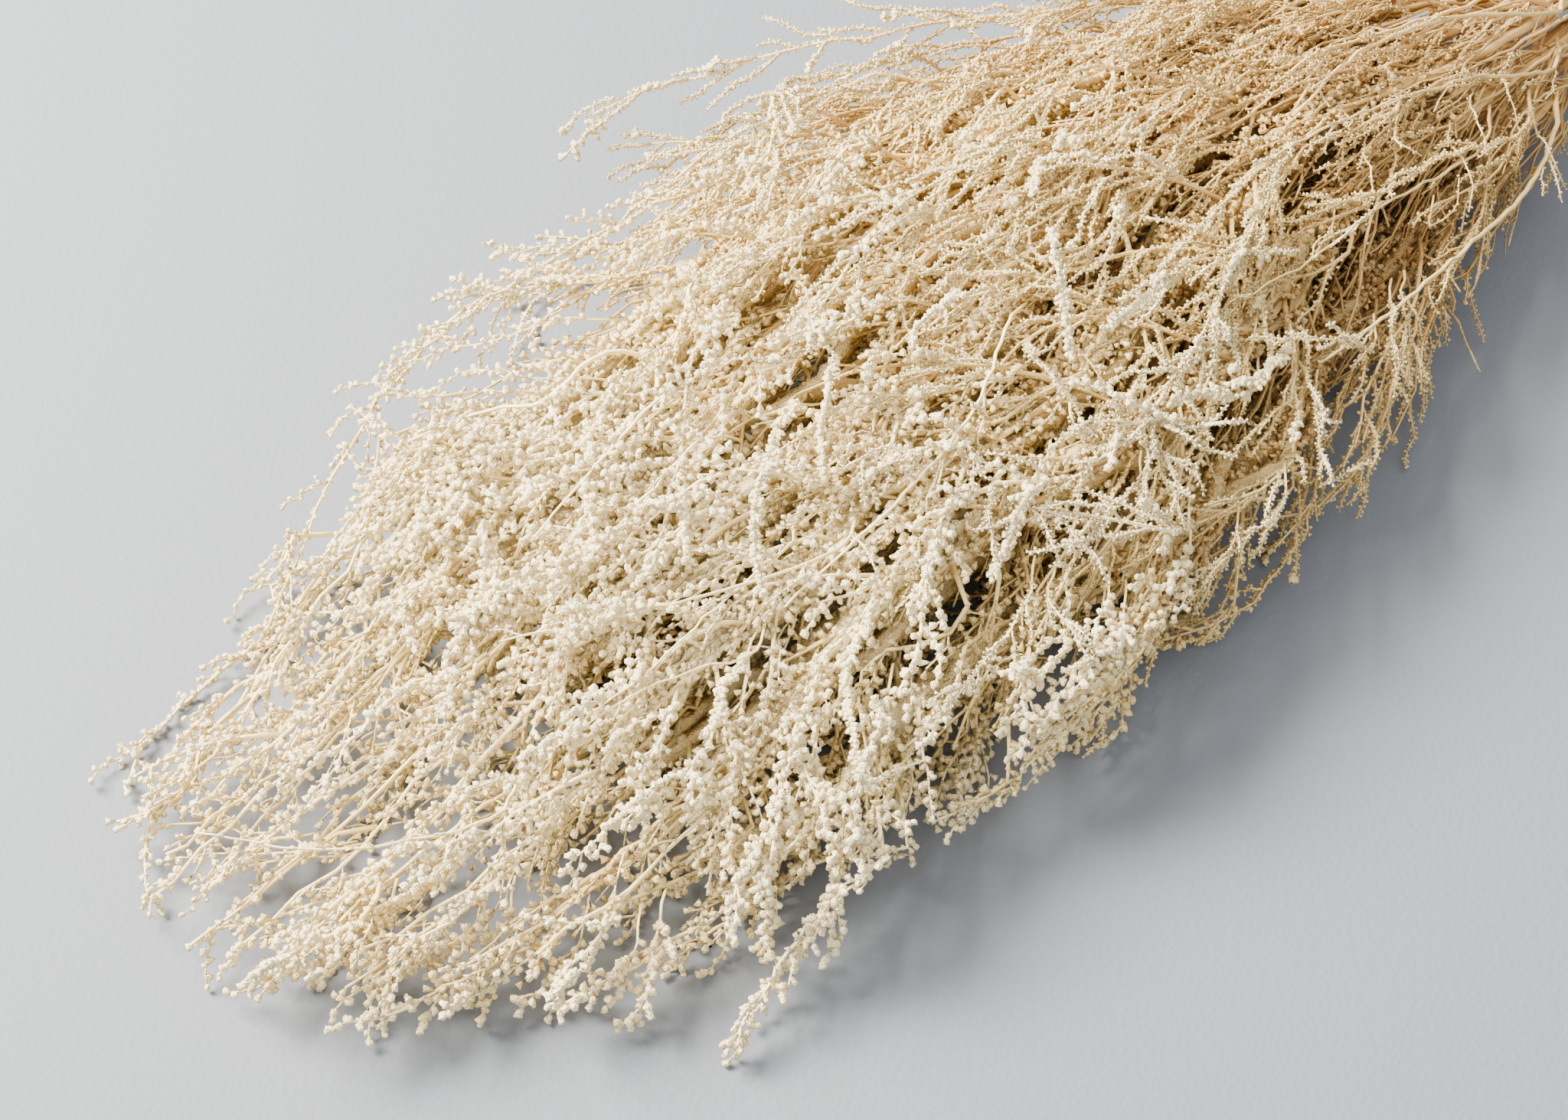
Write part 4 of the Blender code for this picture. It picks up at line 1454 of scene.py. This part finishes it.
    def side_branches(self) -> list[Twig]:
        """Every side branch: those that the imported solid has, and free ones between them.

        Returns:
            The branches, as twigs of level 1.
        """
        rule = self.rule
        x, z = BUNCH.seeds[self.index]
        outward = math.atan2(z, x)
        strays = [stray[1:] for stray in STRAYS if stray[0] == self.index + 1]
        branches = []
        first = rule.outer_branches - len(strays) if self.outer else rule.inner_branches
        free_back = rule.free_back + rule.open_front * float(rule.opens.at(self.reach))
        more = rule.more_outer if self.outer else rule.more_inner
        for seed, count, free in ((PACKED_SEED, first, False), (FREE_SEED, more, True)):
            rng = random.Random(seed + self.index)
            turn = rng.uniform(0, FULL_TURN)
            for k in range(count):
                share = (k + rng.uniform(0.1, 0.9)) / count
                start = rule.first_y + (self.reach - rule.first_y - rule.last_back) * share
                length = (rule.longest + (rule.shortest - rule.longest) * share) * rng.uniform(0.85, 1.15)
                length = min(length, self.reach + rule.past_tip - start)
                flare = rule.flare * rng.uniform(0.7, 1.3)
                if free:
                    length = min(length, self.reach - free_back - start) * rng.uniform(0.5, 1.0)
                    flare *= rng.uniform(0.3, 0.8) + rng.uniform(0.6, 1.4) * float(rule.flares.at(start))
                azimuth = turn + GOLDEN_ANGLE * k
                if self.outer:
                    azimuth = outward + rule.outward_spread * math.sin(azimuth)
                fringe = rng.uniform(*rule.fringe)
                shift = rng.uniform(0, ANY_PHASE)
                shares = np.linspace(0, 1, max(4, round(length / rule.branch_step)) + 1)
                course = self.bowed(start, length, azimuth, flare, shift, shares)
                if free:
                    near = rule.near_side.at(-course[-1, 0]) * (1 - rule.trimmed_to.at(course[-1, 1]))
                    fringe *= 1 - rule.trimmed * float(near)
                    wave = rule.front_wave * float(rule.waves_from.at(start + length)) * shares
                    for axis, size in ((0, 1.0), (2, rule.wave_height)):
                        swing = FULL_TURN * rule.waves * shares + rng.uniform(0, ANY_PHASE)
                        course[:, axis] += size * wave * np.sin(swing)
                    half_way = course[len(course) // 2 :]
                    if length < rule.least_length or rng.random() < rule.airiness * self.airy(half_way)[0]:
                        continue
                branches.append(self.branch(course, fringe, CROSSING if free else rule.apart))
        for start, *places in strays:
            shares = np.linspace(0, 1, rule.stray_stations)
            branches.append(self.branch(self.bent(start, tuple(places), shares), rule.stray_fringe, rule.apart))
        return branches

    def branchlets(self, parent: Twig) -> list[Twig]:
        """The short twigs that grow from a branch or from the stem, turn about turn.

        Args:
            parent: What they grow from.

        Returns:
            The branchlets, as twigs of level 2.
        """
        rule, rng = self.rule, self.rng
        if parent.dress in (CLUSTER, TWIGLET):
            return []
        first = rule.bare_root if parent.level else max(0.0, rule.bare_stem - float(parent.points[0, 1]))
        front = float(rule.full_front.at(parent.place(0.7)[0, 1]))
        spacing = rule.branchlet_spacing * (rule.stub_spacing if parent.dress is STUB else 1.0)
        if parent.dress is None:
            spacing *= 1 - rule.front_closer * front
        runs = np.arange(first, parent.length - rule.bare_tip, spacing)
        if not len(runs):
            return []
        runs = runs + rng.uniform(-0.3, 0.3, len(runs)) * rule.branchlet_spacing
        roots, along = parent.at(runs), parent.heading(runs)
        deep = BUNCH.depth(roots)
        keep = (deep < rule.fine_depth) | (rng.random(len(runs)) < rule.deep_kept + rule.front_kept * front)
        if parent.dress is BARE:
            keep &= rng.random(len(runs)) < rule.bare_kept
        keep &= rng.random(len(runs)) > rule.airy_left * rule.airiness * self.airy(roots)
        under = (roots[:, 2] < rule.under_height) & (deep < rule.fine_depth)
        keep &= ~(under & (rng.random(len(runs)) < rule.under_left - rule.front_kept * front))
        turns = rng.uniform(0, ANY_PHASE) + math.pi * np.arange(len(runs)) + rng.normal(0, 0.7, len(runs))
        sides = beside(along, turns)
        outward = BUNCH.outward(roots)
        y = roots[:, 1]
        young, knobby = rule.young.at(y), rule.knobs_from.at(y)
        lean = (0.15 + 0.30 * knobby) * (1.0 if self.outer else rule.inner_lean)
        sides = unit(sides + lean[:, None] * outward)
        share = runs / parent.length
        keep &= rng.random(len(runs)) < 0.35 + 0.65 * rule.branchlets_from.at(y)
        low, high = rule.branchlet_length
        lengths = (low + (high - low) * rng.random(len(runs)) ** rule.mostly_short) * (1 - rule.shorter * share)
        lengths = lengths * (1.0 + rule.longer_back * (1 - knobby))
        curled = rng.random(len(runs)) < rule.curled * (1 - knobby)
        lengths = np.where(curled, rule.curled_length * lengths, lengths)
        if parent.dress is not None:
            lengths = lengths * rule.laid_lengths[parent.dress] * (1 - 0.3 * self.airy(roots))
        made = []
        for k in np.flatnonzero(keep):
            angle = rng.uniform(0.5, 1.0) * (1.15 if curled[k] else 0.45 + 0.15 * young[k] + 0.40 * knobby[k])
            start = along[k] * math.cos(angle) + sides[k] * math.sin(angle)
            curl = 1.2 if curled[k] else 0.22 + 0.18 * knobby[k]
            end = unit(0.8 * along[k] + 0.35 * start + curl * rng.normal(0, 0.6, 3) + np.array((0, 0, -rule.sagging)))
            steps = 6 if curled[k] or lengths[k] > rule.long_let else 5 if lengths[k] > rule.short_let else 4
            steps = min(steps, 4) if deep[k] > rule.coarse_depth else steps
            s = np.linspace(0, 1, steps)[:, None]
            points = roots[k] + lengths[k] * (start * s + (end - start) * s * s / 2)
            points[1:] += rng.normal(0, rule.branchlet_kinks * lengths[k], (steps - 1, 3))
            made.append((points, parent.fringe + rule.branchlet_fringe * rng.random()))
        if not made:
            return []
        points = np.concatenate([line for line, _ in made])
        fringes = np.concatenate([np.full(len(line), fringe) for line, fringe in made])
        kept = BUNCH.kept_clear(self.index, points, rule.branchlet_room, fringes, CROSSING)
        kept = in_box(kept, -rule.branchlet_past)
        twigs, count = [], 0
        for line, fringe in made:
            share = np.linspace(0, 1, len(line))
            y = line[0, 1]
            furry = 1 + rule.furry_wood * float(rule.furry_from.at(y) * (1 - rule.knobs_from.at(y)))
            root_radius, tip_radius = rule.branchlet_radius
            radii = furry * (root_radius + (tip_radius - root_radius) * share)
            tone = float(np.clip(parent.tone + rng.normal(0, 0.15), 0, 1))
            twigs.append(Twig(kept[count : count + len(line)], radii, BRANCHLET, fringe, parent.dress, tone))
            count += len(line)
        return twigs

    def leaf(self, twig: Twig) -> None:
        """Sets tufts along a twig: knobs towards the bunch's tips, scales towards the stems, and plain ones deep in.

        Args:
            twig: The twig to set them on.
        """
        rule, rng = self.rule, self.rng
        middle = twig.place(0.6)
        deep = float(BUNCH.depth(middle)[0])
        y, z = float(middle[0, 1]), float(middle[0, 2])
        fine = deep < rule.fine_depth and not (z < rule.plain_height and rule.plain_depth < deep)
        knobby = rng.random() < float(rule.knobs_from.at(y))
        short = twig.level == BRANCHLET
        if twig.dress is not None:
            self.leaf_laid(twig)
            return
        if rng.random() < rule.leafless * (1 - float(rule.leaves_from.at(y))):
            return
        if knobby and fine:
            kinds = INNER_KNOBS
            if deep < rule.outer_depth:
                kinds = OUTER_KNOBS if deep < rule.skin_depth and z > rule.grainy_height else SECOND_KNOBS
            airy = self.airy(middle)[0]
            front = float(rule.dense_front.at(y))
            site = (rule.knob_site if short else rule.branch_site * (1 - 0.20 * front)) * (1 + 0.15 * airy)
            self.set_tufts(twig, site, rule.knob * (1 - 0.14 * airy), kinds, rule.doubled[int(short)])
        elif knobby:
            self.set_tufts(twig, rule.deep_site, rule.deep_knob, SCALES, 0.0)
        elif deep < rule.bare_depth:
            coarse = 1.0 if deep < rule.outer_depth else 1.8 if fine else 3.0
            site = rule.scale_site * coarse * (1.0 if short else 1.4)
            self.set_tufts(twig, site, rule.scale_leaf * (1 + 0.1 * coarse), SCALES, 0.0)
            if short and deep < rule.crown_depth and rng.random() < rule.crowned * float(rule.crowns_from.at(y)):
                self.crown(twig)

    def leaf_laid(self, twig: Twig) -> None:
        """Sets the tufts on a spray that is listed one by one, or on one of its branchlets.

        Args:
            twig: The twig to set them on.
        """
        rule = self.rule
        if twig.dress is KNOBS:
            airy = self.airy(twig.place(0.6))[0]
            doubled = (0.4 if twig.level == BRANCHLET else 0.2) * (1 - 0.7 * airy)
            site = rule.laid_site * (1 + 0.5 * airy)
            self.set_tufts(twig, site, rule.knob * (1 - 0.18 * airy), OUTER_KNOBS, doubled)
        elif twig.dress is FURRY:
            self.set_tufts(twig, 0.85 * rule.scale_site, 1.05 * rule.scale_leaf, SCALES, 0.0)
        elif twig.dress is CLUSTER:
            self.set_tufts(twig, rule.cluster_site, 0.80 * rule.knob, OUTER_KNOBS, 0.25)
        elif twig.dress is TWIGLET or (twig.dress is BARE and twig.level == BRANCHLET):
            self.set_tufts(twig, 2.2 * rule.scale_site, 0.9 * rule.scale_leaf, SCALES, 0.0)

    def laid(self, dress: Dress, width: int, *places: int) -> Twig:
        """A spray that lies on top of the mass.

        Args:
            dress: What grows on it.
            width: Its radius where it comes out of the mass, in hundredths of a millimetre.
            places: Four places on its way, from there to its tip, in millimetres.

        Returns:
            The spray as a twig of level 1, rooted a little inside the mass.
        """
        rule = self.rule
        stations = np.array(places).reshape(4, 3) / 1000
        inward = -BUNCH.outward(stations[:1])[0]
        root = stations[0] + rule.laid_root * inward - np.array((0, rule.laid_back, 0))
        stations = np.vstack((root, stations))
        chord = run_along(stations)
        slopes = np.gradient(stations, chord, axis=0)
        run = np.linspace(0, chord[-1], max(5, round(chord[-1] / rule.laid_step)) + 1)
        i = np.clip(np.searchsorted(chord, run) - 1, 0, len(chord) - 2)
        span = (chord[i + 1] - chord[i])[:, None]
        t = ((run - chord[i]) / span[:, 0])[:, None]
        points = cubic(i, t, span, stations, slopes)
        points[1:-1] += self.rng.normal(0, rule.laid_kinks, points[1:-1].shape)
        radii = width / 100000 * np.linspace(1.0, rule.laid_taper, len(points))
        tone = float(self.rng.uniform(0.3, 0.9)) - 0.28 * float(1 - rule.laid_pale.at(stations[-1, 1]))
        tone = 1.0 if dress is CLUSTER else max(tone, 0.1)
        return Twig(in_box(points, rule.laid_inside), radii, BRANCH, rule.stray_fringe, dress, tone)

    def set_stem_tufts(self, stem: Twig) -> None:
        """Sets knobs on the last part of the stem itself, where it lies near the top.

        Args:
            stem: The stem.
        """
        rule, rng = self.rule, self.rng
        runs = np.arange(0, stem.length, rule.stem_site)
        runs = runs + rng.uniform(-0.3, 0.3, len(runs)) * rule.stem_site
        roots, along = stem.at(runs), stem.heading(runs)
        keep = (roots[:, 1] > 0.40 + 0.10 * rng.random(len(runs))) & (BUNCH.depth(roots) < rule.stem_tuft_depth)
        if not keep.any():
            return
        roots, along = roots[keep], along[keep]
        directions = unit(beside(along, rng.uniform(0, FULL_TURN, len(roots))) + 0.4 * along)
        sizes = rule.knob * rng.uniform(0.85, 1.25, len(roots))
        self.tufts.add(roots, directions, sizes, rng.choice(SECOND_KNOBS, len(roots)), 0.6)

    def crown(self, twig: Twig) -> None:
        """Sets a white cluster of knobs on the last part of a scaly twig.

        Args:
            twig: The twig.
        """
        rule, rng = self.rule, self.rng
        count = rng.integers(3, 7)
        runs = twig.length - rng.uniform(0, rule.crown_length, count)
        roots, along = twig.at(runs), twig.heading(runs)
        directions = unit(along * 0.5 + rng.normal(0, 0.8, roots.shape))
        sizes = rule.knob * rng.uniform(0.75, 1.1, count)
        self.tufts.add(roots, directions, sizes, rng.choice(OUTER_KNOBS, count), 0.95)

    def set_tufts(self, twig: Twig, site: float, size: float, kinds: tuple[int, ...], doubled: float) -> None:
        """Sets tufts along a twig and on its tip: knobs side about side, scales in a spiral.

        Args:
            twig: The twig.
            site: How far apart the tufts stand along it.
            size: How large they are.
            kinds: The patterns to choose among.
            doubled: The share of them that carry a second one further out.
        """
        rng = self.rng
        first = self.rule.first_tuft[int(twig.level == BRANCHLET)]
        runs = np.arange(first, twig.length, site)
        if not len(runs):
            runs = np.array([twig.length * 0.8])
        runs = np.minimum(runs + rng.uniform(-0.25, 0.25, len(runs)) * site, twig.length)
        roots, along = twig.at(runs), twig.heading(runs)
        spiral = kinds == SCALES
        turn = GOLDEN_ANGLE if spiral else math.pi
        turns = rng.uniform(0, ANY_PHASE) + turn * np.arange(len(runs)) + rng.normal(0, 0.5, len(runs))
        side = beside(along, turns)
        lean = (rng.uniform(0.35, 0.9, len(runs)) + (0.45 if spiral else 0.0))[:, None]
        lean[-1] = self.rule.tip_lean
        directions = unit(side + lean * along)
        sizes = size * rng.uniform(0.78, 1.15, len(runs))
        self.tufts.add(roots, directions, sizes, rng.choice(kinds, len(runs)), twig.tone)
        again = rng.random(len(runs)) < doubled
        if again.any():
            out = roots[again] + directions[again] * sizes[again][:, None] * 0.8
            skew = unit(directions[again] + rng.normal(0, 0.5, (int(again.sum()), 3)))
            self.tufts.add(out, skew, sizes[again] * 0.9, rng.choice(kinds, int(again.sum())), twig.tone)

    def build(self, outlines: dict[int, bpy.types.Object], shapes: list[tuple[Array, Array]]) -> bpy.types.Object:
        """Grows the spray and makes it one piece.

        Args:
            outlines: The tube outlines by their number of sides.
            shapes: The modelled tufts.

        Returns:
            The piece.
        """
        stem = self.main_stem()
        branches = self.side_branches()
        branches += [self.laid(*spray[1:]) for spray in LAID_SPRAYS if spray[0] == self.index + 1]
        lets = [let for parent in (stem, *branches) for let in self.branchlets(parent)]
        for twig in (stem, *branches, *lets):
            if twig.level:
                self.leaf(twig)
        thin = outlines[TWIG_SIDES]
        wood = [
            tubes(self.name + "_wood", [(stem.points, stem.radii)], outlines[STEM_SIDES]),
            tubes(self.name + "_branches", [(twig.points, twig.radii) for twig in branches], thin),
            tubes(self.name + "_branchlets", [(twig.points, twig.radii) for twig in lets], thin),
        ]
        wood_faces = len(wood[0].data.polygons) + len(wood[1].data.polygons)
        pick_only(*wood)
        bpy.ops.object.join()
        wood_object = bpy.context.object
        let_faces = len(wood_object.data.polygons) - wood_faces
        wood_tone = wood_object.data.attributes.new("tone", "FLOAT", "POINT").data
        wood_tone.foreach_set("value", np.full(len(wood_tone), 0.5))
        self.set_stem_tufts(stem)
        strands = tubes(self.name + "_strands", self.strands(), thin)
        edit_all()
        bpy.ops.transform.vertex_random(offset=self.strand_lump, uniform=0.6, normal=0.4, seed=self.index + 1)
        bpy.ops.object.mode_set(mode="OBJECT")
        leaves = self.tufts.stamped(self.name + "_tufts", shapes, self.rng)
        tuft_faces = len(leaves.data.polygons)
        strand_tone = strands.data.attributes.new("tone", "FLOAT", "POINT").data
        strand_tone.foreach_set("value", self.rng.uniform(0, 1, len(strand_tone)))
        pick_only(wood_object, leaves, strands)
        bpy.ops.object.join()
        piece = bpy.context.object
        bpy.ops.object.shade_smooth()
        piece.name = self.name + "_spray"
        piece.data.name = piece.name
        self.piece, self.wood_faces, self.tuft_faces = piece, wood_faces, let_faces + tuft_faces
        self.settle()
        return piece

    def settle(self) -> None:
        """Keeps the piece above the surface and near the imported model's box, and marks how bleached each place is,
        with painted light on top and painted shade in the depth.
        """
        mesh = self.piece.data
        low, high = BOX_LOW - np.array(self.past_low), BOX_HIGH + np.array(self.past_high)
        places = np.clip(vertex_places(mesh), low, high)
        mesh.vertices.foreach_set("co", places.ravel())
        tone = np.empty(len(places))
        mesh.attributes["tone"].data.foreach_get("value", tone)
        # The mark holds the bleaching together with painted light on top and painted shade in the depth.
        mark = mesh.attributes.new("bleach_and_shading", "FLOAT", "POINT")
        mark.data.foreach_set("value", self.bleach_and_shading.at(places, tone))
        mesh.attributes.remove(mesh.attributes["tone"])
        mesh.update()

    def dress(self, wood: bpy.types.Material, tufts: bpy.types.Material, packed: bpy.types.Material) -> None:
        """Gives the wood, the tufts and the tangle their finishes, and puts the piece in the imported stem's place.

        Args:
            wood: The twigs' material.
            tufts: The tufts' material.
            packed: The material of the tangle in the depth.
        """
        mesh = self.piece.data
        mesh.materials.clear()
        for finish in (wood, tufts, packed):
            mesh.materials.append(finish)
        index = np.full(len(mesh.polygons), 2, dtype=np.int32)
        index[: self.wood_faces + self.tuft_faces] = 1
        index[: self.wood_faces] = 0
        mesh.polygons.foreach_set("material_index", index)
        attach(self.piece, "root")
        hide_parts(self.name)


@dataclass
class TwineTie:
    """Two-ply twine wound round the stems, with a knot on top and two frayed ends."""

    radius: float = 0.0012
    gap: float = 0.0003
    turns: int = 5
    steps_a_turn: int = 72
    ply_turn: float = 0.0052
    ply_offset: float = 0.00056
    ply_radius: float = 0.00064
    ply_step: float = 0.0008
    knot_size: Point = (0.0036, 0.0056, 0.0019)
    tail_spread: Point = (0.019, 0.012, 0.007)
    clearance: float = 0.0003
    band_sides: int = 12
    knot_steps: int = 90
    tail_steps: int = 40
    fibres: int = 9
    fibre_steps: int = 5
    fibre_spread: float = 0.32
    fibre_bend: float = 0.0006
    fibre_length: tuple[float, float] = (0.0018, 0.0034)
    fibre_radius: tuple[float, float] = (0.00014, 0.00006)
    name: str = "twine_tie"

    def centre_lines(self) -> list[Array]:
        """The twine's own lines: its winding, its knot and its two ends.

        Returns:
            The points of each, one a row.
        """
        inside = BUNCH.bundle_radius + BUNCH.stem_radius + self.clearance
        ring = (inside + self.radius) / math.cos(math.pi / self.band_sides)
        middle = BUNCH.mid_z[2]
        count = np.linspace(0, self.turns, self.turns * self.steps_a_turn + 1)
        angle = math.pi / 2 + FULL_TURN * count
        pitch = 2 * self.radius + self.gap
        winding = np.stack(
            (ring * np.cos(angle), (count - self.turns / 2) * pitch, middle + ring * np.sin(angle)), axis=-1
        )
        top = middle + ring + self.radius
        t = np.linspace(0, FULL_TURN, self.knot_steps)
        knot = np.stack((np.sin(t) + 2 * np.sin(2 * t), np.cos(t) - 2 * np.cos(2 * t), -np.sin(3 * t)), axis=-1)
        knot = knot / np.array((3, 3, 1)) * np.array(self.knot_size) + np.array((0, 0, top))
        lines = [winding, knot]
        across, forward, down = self.tail_spread
        s = np.linspace(0, 1, self.tail_steps)
        for side in (-1, 1):
            tail = (side * across * s, side * forward * s**2, top + self.radius - down * s**2)
            lines.append(np.stack(tail, axis=-1))
        return lines

    def plies(self, line: Array) -> list[tuple[Array, Array]]:
        """The two strands that twist round a line.

        Args:
            line: The twine's own line.

        Returns:
            The points and radii of each strand.
        """
        run = run_along(line)
        fine = np.linspace(0, run[-1], max(12, int(run[-1] / self.ply_step)))
        points = places_at(fine, run, line)
        along = unit(np.gradient(points, axis=0))
        made = []
        for phase in (0.0, math.pi):
            strand = points + self.ply_offset * beside(along, FULL_TURN * fine / self.ply_turn + phase)
            made.append((strand, np.full(len(strand), self.ply_radius)))
        return made

    def frayed(self, line: Array, rng: np.random.Generator) -> list[tuple[Array, Array]]:
        """The loose fibres at the end of a tail.

        Args:
            line: The tail's own line.
            rng: Spreads the fibres.

        Returns:
            The points and radii of each fibre.
        """
        tip, along = line[-2], unit(line[-1] - line[-4])
        s = np.linspace(0, 1, self.fibre_steps)[:, None]
        fibres = []
        for _ in range(self.fibres):
            heading = unit(along + rng.normal(0, self.fibre_spread, 3))
            bend = rng.normal(0, self.fibre_bend, 3)
            points = tip + heading * s * rng.uniform(*self.fibre_length) + bend * s * s
            fibres.append((points, np.linspace(*self.fibre_radius, self.fibre_steps)))
        return fibres

    def build(self, outlines: dict[int, bpy.types.Object]) -> bpy.types.Object:
        """Winds the twine.

        Args:
            outlines: The tube outlines by their number of sides.

        Returns:
            The piece.
        """
        rng = np.random.default_rng(FRAY_SEED)
        lines = self.centre_lines()
        strands = [ply for line in lines for ply in self.plies(line)]
        for tail in lines[2:]:
            strands += self.frayed(tail, rng)
        piece = tubes(self.name + "_twisted", strands, outlines[TWINE_SIDES])
        bpy.ops.object.shade_smooth()
        mesh = piece.data
        places = vertex_places(mesh)
        places[:, 2] = np.maximum(places[:, 2], 0.0)
        mesh.vertices.foreach_set("co", places.ravel())
        mesh.update()
        self.piece = piece
        return piece

    def dress(self, twine: bpy.types.Material) -> None:
        """Gives the twine its finish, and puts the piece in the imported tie's place."""
        self.piece.data.materials.clear()
        self.piece.data.materials.append(twine)
        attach(self.piece, "root")
        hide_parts(self.name)


@dataclass(frozen=True)
class SoftLight:
    """A square soft light: where it hangs, its side, its power and its colour."""

    name: str
    place: Point
    size: float
    watts: float
    colour: Point

    def hang(self, aim: Point) -> None:
        """Hangs the light, pointed at a place."""
        bare_selection()
        bpy.ops.object.light_add(type="AREA", location=self.place)
        lamp = bpy.context.object
        lamp.name = self.name
        lamp.data.size, lamp.data.energy, lamp.data.color = self.size, self.watts, self.colour
        lamp.rotation_euler = (Vector(aim) - Vector(self.place)).to_track_quat("-Z", "Y").to_euler()


@dataclass(frozen=True)
class Studio:
    """The floor, the soft lights and the camera. The daylight comes from the far side, with a weak fill from the
    camera's."""

    camera_place: Point = (-0.35746, 0.79339, 0.61284)
    camera_azimuth: float = -133.7
    camera_elevation: float = 50.0
    lens: float = 65.0
    sensor: float = 36.0
    nearest: float = 0.01
    floor_size: float = 8.0
    floor_colour: Colour = (0.17, 0.185, 0.205, 1)
    floor_roughness: float = 0.85
    floor_shine: float = 0.5
    grain_scale: float = 600.0
    grain_bump: float = 0.25
    grain_depth: float = 0.0004
    sky: Colour = (0.92, 0.94, 0.97, 1)
    sky_strength: float = 1.35
    aim: Point = (0.02, 0.33, 0.03)
    lights: tuple[SoftLight, ...] = (
        SoftLight("window", (0.80, 0.92, 0.92), 0.7, 140.0, (1.0, 0.945, 0.86)),
        SoftLight("fill", (-0.9, 0.9, 0.9), 1.2, 4.0, (0.95, 0.97, 1.0)),
    )

    def floor(self, relief: bpy.types.NodeTree) -> None:
        """Lays the floor.

        Args:
            relief: The group that gives the floor its faint grain.
        """
        bare_selection()
        bpy.ops.mesh.primitive_plane_add(size=self.floor_size, location=(0, 0, 0))
        floor = bpy.context.object
        floor.name = "floor"
        made, graph, shader = started_material("pale_floor", self.floor_colour, self.floor_roughness, self.floor_shine)
        height = graph.add("Group", "Height", {"Scale": self.grain_scale}, node_tree=relief)
        normal = graph.bump(height, self.grain_bump, self.grain_depth)
        graph.feed(shader, {"Base Color": self.floor_colour, "Normal": normal})
        floor.data.materials.append(made)

    def light(self) -> None:
        """Sets the sky's light, and hangs the lights."""
        world = bpy.data.worlds.new("studio")
        world.use_nodes = True
        sky = {"Color": self.sky, "Strength": self.sky_strength}
        Graph(world.node_tree).feed(world.node_tree.nodes["Background"], sky)
        bpy.context.scene.world = world
        for soft in self.lights:
            soft.hang(self.aim)

    def camera(self) -> None:
        """Sets the camera at the photograph's viewing angle."""
        a, e = math.radians(self.camera_azimuth), math.radians(self.camera_elevation)
        back = Vector((math.sin(a) * math.cos(e), -math.cos(a) * math.cos(e), math.sin(e)))
        bare_selection()
        bpy.ops.object.camera_add(location=self.camera_place)
        camera = bpy.context.object
        camera.name = "photo_view"
        camera.rotation_euler = (-back).to_track_quat("-Z", "Y").to_euler()
        camera.data.lens, camera.data.sensor_width, camera.data.clip_start = self.lens, self.sensor, self.nearest
        bpy.context.scene.camera = camera


def noted(piece: bpy.types.Object) -> int:
    """Logs a piece and its number of triangles, and gives the number."""
    piece.data.calc_loop_triangles()
    count = len(piece.data.loop_triangles)
    LOG.info("%s: %d triangles", piece.name, count)
    return count


def main() -> None:
    """Builds the dressed bunch and its studio, and notes its size."""
    logging.basicConfig(level=logging.INFO, format="%(message)s")
    relief, bleached = ReliefGroup().made(), BleachAndShadeGroup().made()
    wood = WOOD_FINISH.made(bleached, relief)
    tufts = TUFT_FINISH.made(bleached, relief)
    packed = PackedFinish().made(bleached)
    twine = TwineFinish().made(relief)
    outlines = {sides: TwigOutline(f"outline_{sides}", sides).made() for sides in SIDES}
    shapes = [pattern.modelled() for pattern in PATTERNS]
    total = 0
    for index in range(BUNCH.stem_count):
        stem = StoebeStem(index)
        total += noted(stem.build(outlines, shapes))
        stem.dress(wood, tufts, packed)
    tie = TwineTie()
    total += noted(tie.build(outlines))
    tie.dress(twine)
    LOG.info("%d triangles in all", total)
    for outline in outlines.values():
        bpy.data.objects.remove(outline, do_unlink=True)
    studio = Studio()
    studio.floor(relief)
    studio.light()
    studio.camera()
    bpy.context.view_layer.update()


if __name__ == "__main__":
    main()
